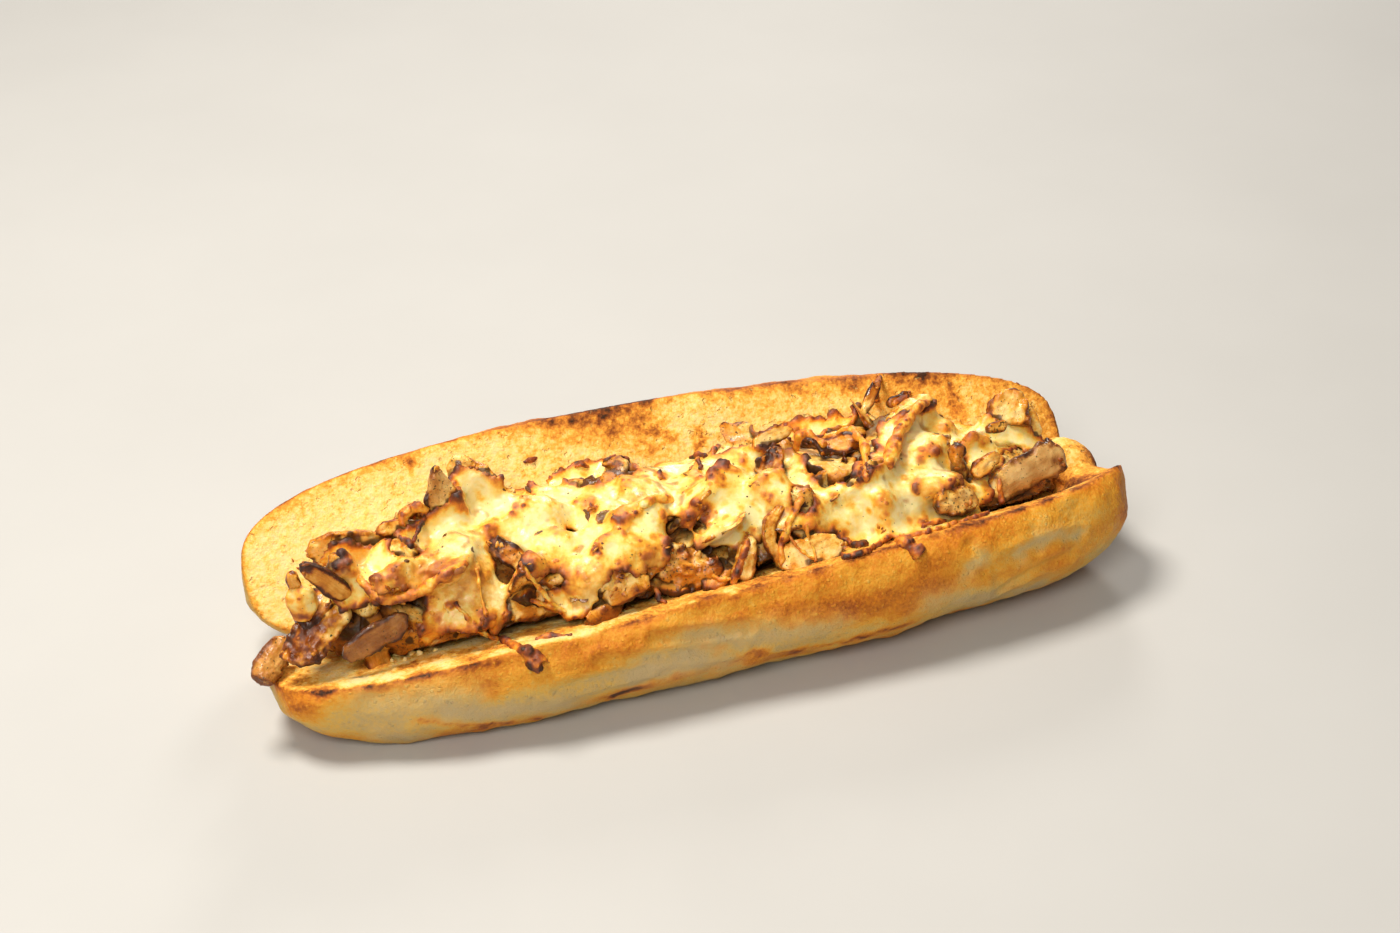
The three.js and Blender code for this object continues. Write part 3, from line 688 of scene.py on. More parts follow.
def cheese_finish():
    """Melted cheese: cream to yellow, browned in blisters on whatever stands up, with painted shade
    in its hollows and gaps.
    """
    f = Finish("melted_cheese")
    wide = f.noise(6 * MM, 3, 0.55)
    small = f.noise(1.8 * MM, 4, 0.65)
    toast = f.painted("toast")
    blisters = f.sum(f.between(f.cells(3.4 * MM), 0.30, 0.12), f.between(toast, 0.12, 0.4), "MULTIPLY")
    spots = f.sum(f.between(f.cells(5 * MM), 0.40, 0.16), f.between(f.noise(8 * MM, 2), 0.44, 0.58),
                  "MULTIPLY")
    shade = f.varied(f.varied(toast, wide, 0.7), small, 0.45)
    shade = f.sum(shade, f.sum(f.scaled(blisters, 0.22), f.scaled(spots, 0.30)), clamp=True)
    through = f.ramp(f.sum(f.scaled(wide, 1.3, -0.15), f.scaled(toast, 0.3)), THIN_SHADES)
    thin = f.varied(f.painted("thin"), small, 0.8)
    colour = f.tinted(f.ramp(shade, CHEESE_SHADES), thin, 0.15, 0.6, 0.85, through)
    colour = f.mix(f.scaled(f.painted("clear"), 0.35), colour, CLEAR_SHADE)
    colour = f.mix(f.between(f.cells(2.6 * MM), 0.05, 0.10, 0.7, 0), colour, HERB_SHADE)
    # Painted shade in the hollows, and a near-black painted shadow in the deep gaps
    colour = f.tinted(colour, f.painted("hollow"), 0.4, 0.95, 0.75, HOLLOW_SHADOW_CHEESE)
    colour = f.tinted(colour, f.painted("deep"), 0.3, 0.45, 0.93, GAP_SHADOW)
    f.bump([(small, 0.2 * MM), (blisters, 0.25 * MM)])
    return f.done(colour, f.between(shade, 0.1, 0.6, 0.26, 0.55), Subsurface_Weight=0.25,
                  Subsurface_Scale=SOFT_DEPTH, Specular_IOR_Level=0.5)


# The roll

# A face this much turned towards the cut, and not this far under it, is crumb; over the join, one that
# is turned up this much
CRUMB_FACING, CRUMB_SINK = 0.72, 1.6 * MM
JOIN_FACING = 0.3


def cut_faces(co, way):
    """For each point of the roll, whether it lies on the crumb of a cut face, and on which half."""
    x, y, z = co.T
    lift = LIFT * (np.maximum(0, x - LIFT_FROM) / (LIFT_TO - LIFT_FROM)) ** 2
    near_lean = np.radians(NEAR_LEAN + NEAR_LEAN_PER_M * x + lift)
    far_lean = np.radians(FAR_LEAN + FAR_LEAN_PER_M * x)
    middle = np.mean([math.sin(math.radians(FAR_LEAN)), math.sin(math.radians(NEAR_LEAN))])
    slant = (math.cos(math.radians(FAR_LEAN)) - math.cos(math.radians(NEAR_LEAN))) / 2
    far = (y - HINGE.y) * middle - (z - HINGE.z) * slant > 0
    lean = np.where(far, far_lean, near_lean)
    facing_y = np.where(far, -np.sin(lean), np.sin(lean))
    facing = way[:, 1] * facing_y + way[:, 2] * np.cos(lean)
    above = (y - HINGE.y) * facing_y + (z - HINGE.z) * np.cos(lean)
    crumb = (facing > CRUMB_FACING) & (above > -CRUMB_SINK)
    by_join = np.linalg.norm(co - np.array(END_JOIN), axis=1) < END_JOIN_RADIUS
    return crumb | (by_join & (way[:, 2] > JOIN_FACING)), far


def away_from(co, mask):
    """How far each point is from the nearest point on the other side of a mask."""
    away = np.zeros(len(co))
    for side in (True, False):
        others = np.flatnonzero(mask != side)
        tree = lookup(co[others], others)
        for i in np.flatnonzero(mask == side):
            away[i] = tree.find(co[i])[2]
    return away


# Height of the browned line along the foot of the near crust
FOOT_LINE = 4.5 * MM
FOOT_RISE, FOOT_RISE_AT, FOOT_RISE_WIDTH = 8 * MM, -12 * MM, 34 * MM
NEAR_RIM_HEIGHT, FAR_RIM_HEIGHT = 34 * MM, 52 * MM
# How brown the crust is from its foot (0) to its rim (1)
NEAR_BAKE = [(-0.3, 0.15), (-0.08, 0.30), (0, 0.60), (0.08, 0.42), (0.2, 0.10), (0.4, 0.14),
             (0.58, 0.50), (0.78, 0.58), (0.92, 0.42), (1.0, 0.48)]
FAR_BAKE = [(0, 0.62), (0.08, 0.5), (0.2, 0.16), (0.45, 0.26), (0.75, 0.52), (1, 0.6)]
# Dark places along the rim and on the crumb: pixel, radius in mm, amount
SCORCHED = [
    (366, 457, 2.6, 0.9), (350, 464, 2.5, 0.5), (411, 460, 1.8, 0.8), (440, 436, 3, 0.35),
    (500, 424, 2.5, 0.3),
    (545, 420, 4, 0.5), (575, 418, 4, 0.5), (600, 413, 5, 0.45), (625, 410, 4, 0.4), (650, 403, 3, 0.4),
    (560, 432, 4, 0.3), (590, 430, 5, 0.35), (615, 428, 4, 0.4), (640, 425, 4, 0.45), (655, 432, 3, 0.5),
    (646, 447, 3, 0.35), (700, 436, 1.5, 0.7), (700, 446, 1.5, 0.6), (699, 428, 1.2, 0.5),
    (668, 436, 2, 0.4),
    (950, 385, 2.2, 0.6), (952, 398, 2.2, 0.6), (955, 408, 2.5, 0.5), (925, 374, 4, 0.5),
    (895, 380, 3, 0.3),
    (800, 391, 3, 0.3), (850, 385, 4, 0.4), (700, 441, 1.2, 0.6), (1000, 376, 3, 0.35), (1040, 388, 3, 0.5),
    (470, 462, 3, 0.2), (395, 488, 3, 0.25), (410, 470, 2, 0.4), (540, 452, 4, 0.2), (610, 470, 5, 0.2),
    (414, 657, 1.6, 0.6), (430, 662, 1.4, 0.4), (388, 668, 1.4, 0.35), (402, 665, 1.2, 0.4),
    (360, 674, 1.5, 0.35),
    (450, 652, 1.6, 0.35), (475, 648, 1.4, 0.35), (520, 634, 2, 0.3), (335, 682, 1.5, 0.35),
    (310, 686, 1.5, 0.3),
    (416, 662, 2, 0.7), (440, 656, 3, 0.4), (380, 665, 2, 0.5), (350, 678, 3, 0.3),
    (405, 668, 3, 0.35), (470, 650, 3, 0.4), (600, 618, 2.5, 0.25), (640, 608, 2.5, 0.25),
    (715, 588, 2, 0.35), (735, 584, 2, 0.35),
    (1015, 490, 2.5, 0.5), (1040, 484, 2, 0.5), (1090, 476, 2, 0.4), (940, 520, 1.5, 0.4),
]
# Folds in the near crust, as pixels along them
CREASES = [
    [(985, 572), (1015, 556), (1050, 543), (1082, 536)],
    [(1000, 590), (1035, 570), (1075, 552)],
    [(970, 545), (990, 560), (1000, 580)],
    [(600, 662), (640, 660), (690, 652), (740, 648)],
    [(560, 690), (600, 678), (650, 668)],
    [(655, 640), (700, 636), (750, 628)],
]
CREASE_WIDTH, CREASE_DEPTH = 2.2 * MM, 0.9 * MM
CREASE_STEPS = 12
# Relief: the size of the bumps and their height, on the crust, all over, and on the near crumb, which
# lies smooth towards the join
CRUST_RELIEF = [(20 * MM, 3.0 * MM), (7 * MM, 1.0 * MM)]
FINE_RELIEF = 2.4 * MM, 0.8 * MM
CRUMB_RELIEF = 5 * MM, 1.4 * MM
JOIN_FROM, JOIN_TO = 95 * MM, 105 * MM
# Baking: the width and the seed of its wide and its small waves, how far the foot's line strays, how wide
# the rims of crust and crumb are browned, and how toasted the crumb is, further right and on the near half
BROAD_WAVES, SMALL_WAVES = (26 * MM, 3.1), (8 * MM, 7.7)
FOOT_STRAY = 1.2 * MM
CRUST_RIM, CRUMB_RIM, CRUMB_FADE = 1.8 * MM, 1.6 * MM, 7 * MM
TOAST, TOAST_RIGHT, TOAST_NEAR = 0.05, 0.23, 0.17

# The left end of the near half lifts off the floor
END_RISE = 7 * MM
END_RISE_OVER = 100 * MM, 142 * MM
END_RISE_BESIDE = 4 * MM, 20 * MM
# Brown lines on the near crust: radius in mm, amount, and the pixels along each
CRUST_LINES = [
    (1.0, 0.30, [(275, 685), (322, 692), (393, 682), (454, 671), (505, 660)]),
    (1.4, 0.40, [(420, 720), (445, 723), (480, 725), (518, 721)]),
    (1.4, 0.40, [(531, 721), (560, 717), (600, 704), (632, 688)]),
    (5.0, 0.08, [(490, 694), (540, 690), (590, 682)]),
    (1.2, 0.25, [(625, 671), (645, 665), (668, 660)]),
    (1.3, 0.35, [(634, 690), (660, 680), (700, 668), (740, 660)]),
    (1.8, 0.40, [(700, 648), (741, 655), (781, 653), (818, 646), (864, 637), (895, 629), (926, 617)]),
    (5.0, 0.07, [(700, 615), (760, 612), (830, 600), (890, 585)]),
    (2.5, 0.25, [(1002, 590), (1030, 585), (1060, 575), (1088, 560)]),
    (1.0, 0.15, [(640, 612), (690, 604), (740, 597)]),
    (3.5, 0.25, [(285, 700), (300, 712), (330, 722)]),
]
# Pale and grey places on it, the same way; their grey is kept dim, a painted shade of the lower crust
PALE_LINES = [
    (4.0, 0.6, [(377, 736), (410, 738), (450, 737)]),
    (5.0, 0.3, [(360, 700), (400, 706), (440, 700), (490, 696)]),
    (3.5, 0.5, [(442, 713), (500, 714), (560, 707), (592, 700)]),
    (4.5, 0.8, [(632, 680), (660, 668), (700, 662), (740, 666)]),
    (3.5, 0.5, [(690, 638), (740, 638), (800, 632), (852, 624)]),
    (2.0, 0.6, [(1018, 558), (1032, 543), (1060, 535), (1088, 533)]),
    # This one is a painted highlight along a fold near the right end
    (2.0, 0.4, [(965, 578), (975, 565), (990, 550)]),
    (4.0, 0.6, [(930, 602), (980, 598), (1030, 588), (1050, 580)]),
]


def along(rows):
    """Places, a few pixels apart, along lines drawn on the photograph."""
    out = []
    for radius, amount, path in rows:
        for (ax, ay), (bx, by) in zip(path, path[1:]):
            steps = max(1, round(math.hypot(bx - ax, by - ay) / (3 * radius)))
            out += [(ax + (bx - ax) * i / steps, ay + (by - ay) * i / steps, radius, amount)
                    for i in range(steps)]
    return out


FLAT_FACING = 0.985


def rim_creased(ob):
    """Keeps the cut's edges sharp while the rest of the crust is rounded."""
    mesh = ob.data
    flat = []
    for face in mesh.polygons:
        ways = [Vector((0, side * math.sin(math.radians(lean)), math.cos(math.radians(lean))))
                for side, lean in ((-1, FAR_LEAN), (1, NEAR_LEAN + NEAR_LEAN_PER_M * face.center.x))]
        flat.append(max(face.normal.dot(way) for way in ways) > FLAT_FACING)
    sides = {}
    for face in mesh.polygons:
        for key in face.edge_keys:
            sides.setdefault(key, []).append(flat[face.index])
    crease = mesh.attributes.new("crease_edge", "FLOAT", "EDGE")
    values = [1.0 if len(set(sides[edge.key])) == 2 else 0.0 for edge in mesh.edges]
    crease.data.foreach_set("value", values)


def carved(ob, tree, paths, width, depth):
    """Folds along pixel paths, each a groove with a soft swelling beside it."""
    co = points(ob)
    near = lookup(co)
    nearest = np.ones(len(co))
    for path in paths:
        for (ax, ay), (bx, by) in zip(path, path[1:]):
            for t in np.arange(CREASE_STEPS) / CREASE_STEPS:
                hit, _ = seen_at(tree, ax + (bx - ax) * t, ay + (by - ay) * t)
                if hit:
                    for _, i, away in near.find_range(hit, width * 3):
                        nearest[i] = min(nearest[i], away)
    share = nearest / width
    push = -depth * np.exp(-(share * 1.3) ** 2) + 0.55 * depth * np.exp(-((share - 1.7) * 1.6) ** 2)
    set_points(ob, co + normals(ob) * push[:, None])
    return np.exp(-(share * 1.1) ** 2)


def shaped_roll():
    """The bread with its relief, and for each point whether it is crumb, whether it is on the far half,
    how far it is from the rim and how deep in a fold."""
    bread = merged_copy("roll", "split_roll")
    rim_creased(bread)
    finished(bread, "SUBSURF", levels=2, render_levels=2)
    lump = added(bpy.ops.mesh.primitive_ico_sphere_add, subdivisions=4, radius=1, location=WEB_LUMP,
                 scale=WEB_LUMP_RADII)
    remeshed(joined([bread, lump], "split_roll"), BREAD_GRAIN)
    co = points(bread)
    crumb, far = cut_faces(co, normals(bread))
    rim = away_from(co, crumb)
    finished(bread, "SMOOTH", factor=0.5, iterations=12,
             vertex_group=group(bread, "smooth", 0.1 + 0.9 * step_up(rim, 1 * MM, 5 * MM)))
    bread.vertex_groups.clear()
    co = points(bread)
    x, y, z = co.T
    near_half, low = step_up(HINGE.y - y, *END_RISE_BESIDE), step_up(-z, -30 * MM, 0)
    co[:, 2] += END_RISE * step_up(-x, *END_RISE_OVER) * near_half * low
    set_points(bread, co)
    on_crust = np.where(crumb, 0.0, step_up(rim, 0.5 * MM, 5 * MM))
    for size, height in CRUST_RELIEF:
        roughened(bread, size, height, weights=on_crust)
    roughened(bread, *FINE_RELIEF, weights=np.where(crumb, 0.8, 0.3))
    on_crumb = np.where(crumb & ~far, step_up(rim, 1 * MM, 4 * MM), 0) * (1 - step_up(x, JOIN_FROM, JOIN_TO))
    roughened(bread, *CRUMB_RELIEF, weights=on_crumb)
    tree = surface(bread)
    folds = carved(bread, tree, CREASES, CREASE_WIDTH, CREASE_DEPTH)
    co = points(bread)
    co[:, 2] = np.maximum(co[:, 2], 0)
    set_points(bread, co)
    return bread, tree, crumb, far, rim, folds


def roll():
    """The bread, baked: browned along its foot and rim, scorched, toasted, pale in places, and with a
    painted highlight on a fold.
    """
    bread, tree, crumb, far, rim, folds = shaped_roll()
    co = points(bread)
    x, _, z = co.T
    broad = unevenness(co, *BROAD_WAVES)
    small = unevenness(co, *SMALL_WAVES)
    foot = FOOT_LINE + FOOT_RISE * np.exp(-(((x - FOOT_RISE_AT) / FOOT_RISE_WIDTH) ** 2)) + FOOT_STRAY * small
    near_height = (z - foot) / (NEAR_RIM_HEIGHT - foot) + 0.06 * broad
    crust_bake = np.where(far, np.interp(z / FAR_RIM_HEIGHT, *zip(*FAR_BAKE)),
                          np.interp(near_height, *zip(*NEAR_BAKE)))
    crust_bake += 0.16 * broad + 0.08 * small - 0.12 * folds
    crust_bake += 0.30 * np.exp(-((rim / CRUST_RIM) ** 2)) * (0.6 + 0.8 * small)
    toast = TOAST + TOAST_RIGHT * step_up(x, -0.1, 0.1) + 0.12 * broad
    toast += np.where(far, 0, TOAST_NEAR + 0.42 * small)
    toast += 0.16 * np.exp(-rim / CRUMB_FADE)
    toast += np.where(far, 0.45, 0.34) * np.exp(-((rim / CRUMB_RIM) ** 1.3)) * (0.8 + 0.7 * small)
    burnt = near_to(co, spots_on(tree, SCORCHED)) * (0.8 + 0.6 * unevenness(co, 2.5 * MM, 1.4))
    # Pale places, greyed as a painted shade low on the crust, one of them a painted highlight
    pale = np.minimum(near_to(co, spots_on(tree, along(PALE_LINES))), 1)
    lines = near_to(co, spots_on(tree, along(CRUST_LINES))) * (0.8 + 0.5 * small)
    paint(bread, "pale", np.where(crumb, 0, pale))
    paint(bread, "bake", np.where(crumb, toast, (crust_bake + lines) * (1 - 0.7 * pale)) + burnt)
    paint(bread, "crumb", spread_out(bread, crumb.astype(float), 1))
    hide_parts("roll")
    return placed(bread, bread_finish())


# The meat

FIBRE_LONG, FIBRE_WIDE = 9 * MM, 1.1 * MM
# Ragged edges of strips and slices: the length that their waves are counted on, how many there are along
# and across it and the seed of each kind, and how far a strip's go
RAG = 14 * MM
STRIP_WAVES = [(1.6, 1.2, 0), (3.5, 3.5, 9), (1.2, 7, 5)]
SLICE_WAVES = [(1.8, 1.5, 0), (4.5, 4.5, 9), (1.0, 8, 5), (11, 11, 2)]
RAGGED = 0.3
STRIP_CUTS, SLICE_CUTS = 18, 22


def set_grain(ob, places):
    """The places along, across and through a piece, for the grain of the meat."""
    layer = ob.data.attributes.new("grain", "FLOAT_VECTOR", "POINT")
    places = places / [FIBRE_LONG, FIBRE_WIDE, FIBRE_WIDE]
    layer.data.foreach_set("vector", places.astype(np.float32).ravel())


def grained(ob):
    """Grain along the longest way of a piece."""
    co = points(ob)
    middle = co.mean(0)
    _, _, axes = np.linalg.svd(co - middle, full_matrices=False)
    set_grain(ob, (co - middle) @ axes.T)


def standing_out(ob, times, full):
    """1 on edges, ridges and tips that stand out of a piece by full, 0 in its hollows and flats."""
    co = points(ob)
    out = ((co - spread_out(ob, co, times)) * normals(ob)).sum(1)
    return np.clip(out / full, 0, 1)


def strip(name, length, width, thickness, bend, twist, curl):
    """A strip of meat lying along X: uneven at its edges, then curled, twisted and bent."""
    meat = added(bpy.ops.mesh.primitive_cube_add, size=1, scale=(length, width, thickness))
    meat.name = name
    edited(meat, bpy.ops.mesh.subdivide, number_cuts=STRIP_CUTS)
    co = points(meat)
    u, v, w = (co / (np.array([length, width, thickness]) / 2)).T
    seed = NOISE_SPAN * random.random()
    a, b = u * length / RAG, v * width / RAG
    edge, wave, ridge = patterns(a, b, seed, STRIP_WAVES)
    co[:, 1] *= (1 - 0.30 * np.abs(u) ** 4 - 0.10 * np.abs(u)) * (1 + RAGGED * (edge + 0.4 * wave))
    co[:, 0] *= (1 - 0.08 * v ** 2) * (1 + RAGGED * (0.35 * wave + 0.25 * edge * np.sign(v)))
    co[:, 2] *= (1 - 0.35 * np.abs(v) ** 5) * (1 - 0.25 * u ** 6) * (1 + 0.35 * wave)
    co[:, 2] += thickness * (0.25 * edge + 0.18 * ridge)
    set_points(meat, co)
    flat = np.column_stack([u * length, v * width, w * thickness]) / 2
    for method, axis, degrees in (("BEND", "X", curl), ("TWIST", "X", twist), ("BEND", "Y", bend)):
        finished(meat, "SIMPLE_DEFORM", deform_method=method, deform_axis=axis, angle=math.radians(degrees))
    bent = points(meat)
    remeshed(meat, STRIP_GRAIN, 1)
    carry(meat, bent, flat, length, width)
    return meat


def carry(ob, old, flat, length, width):
    """Keeps for every point where it was on the flat piece: for the grain, and for its browned edges."""
    tree = lookup(old)
    was = spread_out(ob, np.array([flat[tree.find(p)[1]] for p in points(ob)]), 2)
    set_grain(ob, was)
    u, v = np.abs(was[:, 0]) / (length / 2), np.abs(was[:, 1]) / (width / 2)
    paint(ob, "edge", np.maximum(u ** 2, v ** 2))


def laid(ob, start, end, roll):
    """Puts a strip between two points, rolled about its length."""
    ahead = (end - start).normalized()
    across = Vector((-ahead.y, ahead.x, 0)).normalized()
    across.rotate(Matrix.Rotation(math.radians(roll), 3, ahead))
    out = ahead.cross(across)
    turn = Matrix((ahead, across, out)).transposed().to_4x4()
    ob.data.transform(Matrix.Translation((start + end) / 2) @ turn)


def cooked(ob, brown, charred, peppered):
    """How brown, burnt and peppered each place of a piece of meat is."""
    patches = unevenness(points(ob), 6 * MM, 3.3)
    ridges = standing_out(ob, 10, 1.0 * MM)
    edge = painted_on(ob, "edge")
    paint(ob, "tone", brown + 0.18 * patches + 0.26 * edge ** 2)
    paint(ob, "char", charred * (0.9 * edge ** 4 + 0.45 * ridges + 0.25 * patches))
    paint(ob, "pepper", peppered)


LINE_STEPS, LINE_SMOOTHING = 60, 12
RIB_LENGTH, RIB_HEIGHT = 5.5 * MM, 0.6 * MM
# A slice thicker than this is a chunk, which is round rather than flat: how much its edges thin out
CHUNK_FROM = 4.5 * MM
CHUNK_ROUNDING, SLICE_ROUNDING = (0.75, 2.2), (0.3, 8)
# Relief of the meat: the size of the bumps and their height, on all of it, on what is crusted with
# pepper, and again on what isn't smooth
MEAT_RELIEF, PEPPER_RELIEF, ROUGH_RELIEF = (1.9 * MM, 0.25 * MM), (1.9 * MM, 1.2 * MM), (3.6 * MM, 0.8 * MM)
STRIP_RELIEF = 1.9 * MM, 0.5 * MM


def on_plane(px, py, y):
    """The place that shows at a pixel and lies this far back."""
    ray = camera_ray(px, py)
    return CAMERA_AT + ray * ((y - CAMERA_AT.y) / ray.y)


def unit(ways):
    return ways / np.linalg.norm(ways, axis=1)[:, None]


def drawn_line(back_start, back_end, places):
    """Along a slice as it was drawn: its middle, its width, and which way its width and face point."""
    steps = np.linspace(0, 1, LINE_STEPS)
    share = np.linspace(0, 1, len(places))
    px, py, width, roll = (np.interp(steps, share, column) for column in zip(*places))
    back = np.interp(steps, (0, 1), (back_start, back_end)) * MM
    line = np.array([on_plane(*row) for row in zip(px, py, back)])
    for _ in range(LINE_SMOOTHING):
        for row in (line, width):
            row[1:-1] = (row[:-2] + 2 * row[1:-1] + row[2:]) / 4
    ahead = unit(np.gradient(line, axis=0))
    eye = unit(np.array(CAMERA_AT) - line)
    face = unit(eye - (eye * ahead).sum(1)[:, None] * ahead)
    side = np.cross(face, ahead)
    turn = np.radians(roll)[:, None]
    across, out = side * np.cos(turn) + face * np.sin(turn), face * np.cos(turn) - side * np.sin(turn)
    return line, width * MM, across, out


def meat_slice(node, back_start, back_end, thickness, brown, charred, peppered, places):
    """One slice of meat along its drawn line, ruffled and torn at its edges."""
    meat = added(bpy.ops.mesh.primitive_cube_add, size=2)
    meat.name = f"{node}_meat"
    edited(meat, bpy.ops.mesh.subdivide, number_cuts=SLICE_CUTS)
    u, v, w = points(meat).T
    line, width, side, face = drawn_line(back_start, back_end, places)
    length = np.linalg.norm(np.diff(line, axis=0), axis=1).sum()
    thick = thickness * MM
    seed = NOISE_SPAN * random.random()
    ends = np.array([noise.noise(Vector((j * 2.2, seed, 0))) for j in v])
    at = (u * (1 - np.abs(u) ** 3 * (0.10 * v ** 2 + 0.10 * (1 + ends))) + 1) / 2 * (LINE_STEPS - 1)
    middle, sideways, outwards = (
        np.column_stack([np.interp(at, range(LINE_STEPS), column) for column in rows.T])
        for rows in (line, side, face))
    wide = np.interp(at, range(LINE_STEPS), width)
    a, b = u * length / RAG, v * wide / RAG
    edge, wave, ridge, torn = patterns(a, b, seed, SLICE_WAVES)
    over = wide / 2 * v * (1 - 0.35 * np.abs(u) ** 8) * (1 + 0.18 * edge + 0.16 * wave + 0.10 * torn)
    thinned, power = CHUNK_ROUNDING if thick > CHUNK_FROM else SLICE_ROUNDING
    out = thick / 2 * w * (1 - thinned * np.abs(v) ** power) * (1 - 0.4 * np.abs(u) ** 8)
    ruffle = np.minimum(wide, thick * 2) * (0.35 if node in SMOOTH else 1)
    out = out + ruffle * (0.16 * edge * (0.4 + v * v) + 0.07 * wave + 0.14 * wave * v ** 4 + 0.06 * ridge)
    if node == "ribbed_curl":
        out += RIB_HEIGHT * np.sin(u * length / 2 / RIB_LENGTH * 2 * math.pi) * np.sign(w)
    set_points(meat, middle + sideways * over[:, None] + outwards * out[:, None])
    flat = np.column_stack([u * length / 2, v * wide / 2, w * thick / 2])
    drawn = points(meat)
    remeshed(meat, MEAT_GRAIN, 1)
    carry(meat, drawn, flat, length, wide.mean())
    roughened(meat, *(PEPPER_RELIEF if node == "peppered_chunk" else MEAT_RELIEF))
    if node not in SMOOTH:
        roughened(meat, *ROUGH_RELIEF)
    cooked(meat, brown, charred, peppered)
    paint(meat, "steamed", STEAMED.get(node, 0))
    return meat


# The near side of the pile lies this much further back than the frame's heap, in full from the second depth
PILE_BACK, PILE_BACK_OVER = 4.5 * MM, (22 * MM, 34 * MM)
# Its relief goes mostly inwards
PILE_RELIEF, PILE_FINE_RELIEF, PILE_MIDDLE = (7 * MM, 4 * MM), (2.6 * MM, 1.4 * MM), 0.9


def heap(finish):
    """The meat under the slices and the cheese, with the short ends that stick out of it."""
    meat = remeshed(merged_copy("meat_heap", "meat_pile"), HEAP_GRAIN, 2)
    roughened(meat, *PILE_RELIEF, middle=PILE_MIDDLE)
    roughened(meat, *PILE_FINE_RELIEF)
    co = points(meat)
    co[:, 1] += PILE_BACK * step_up(-co[:, 1], *PILE_BACK_OVER)
    set_points(meat, co)
    patches = unevenness(co, 7 * MM, 2.2)
    paint(meat, "tone", 0.58 + 0.3 * patches)
    paint(meat, "char", 0.3 * standing_out(meat, 14, 1.5 * MM) + 0.1 + 0.3 * patches)
    paint(meat, "pepper", 0.5)
    grained(meat)
    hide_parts("meat_heap")
    return placed(meat, finish)


EXTRA_SLICES = 60
# Where they lie: as shares of the heap's length, and in mm back from the middle (from, to, and where
# most of them are), none nearer than the next. Then their sizes in mm and their bends in degrees
EXTRA_FROM, EXTRA_SPAN = 0.07, 0.78
EXTRA_BACK, EXTRA_NEAREST = (-33, 24, -20), -27
EXTRA_SIZES, EXTRA_BEND = ((15, 28), (8, 15), (2.4, 4.5)), 40


def buried_slices(pile, finish):
    """Slices lying on the pile, mostly under the cheese, which give it its lumps."""
    tree = surface(pile)
    low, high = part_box("meat_heap")
    pieces = []
    for i in range(EXTRA_SLICES):
        x = low.x + (high.x - low.x) * (EXTRA_FROM + EXTRA_SPAN * (i + random.random()) / EXTRA_SLICES)
        y = max(random.triangular(*EXTRA_BACK), EXTRA_NEAREST) * MM
        hit, way, _, _ = tree.ray_cast(Vector((x, y, ABOVE)), Vector((0, 0, -1)))
        size = [random.uniform(*span) * MM for span in EXTRA_SIZES]
        bent = [random.uniform(-EXTRA_BEND, EXTRA_BEND) for _ in range(3)]
        heading = random.uniform(0, 2 * math.pi)
        rise = random.uniform(-0.25, 0.6)
        piece = strip(f"buried_{i}", *size, *bent)
        if not hit:
            bpy.data.objects.remove(piece)
            continue
        ahead = Vector((math.cos(heading), math.sin(heading), 0)).cross(way).normalized() + way * rise
        middle = hit + way * random.uniform(-0.5, 2.0) * MM
        ahead = ahead.normalized() * MM
        laid(piece, middle - ahead, middle + ahead, random.uniform(-20, 20))
        roughened(piece, *STRIP_RELIEF)
        cooked(piece, random.uniform(0.1, 0.5), random.uniform(0.2, 0.6), random.uniform(0, 0.5))
        pieces.append(piece)
    meat = joined(pieces, "buried_meat")
    return placed(meat, finish)


# The cheese

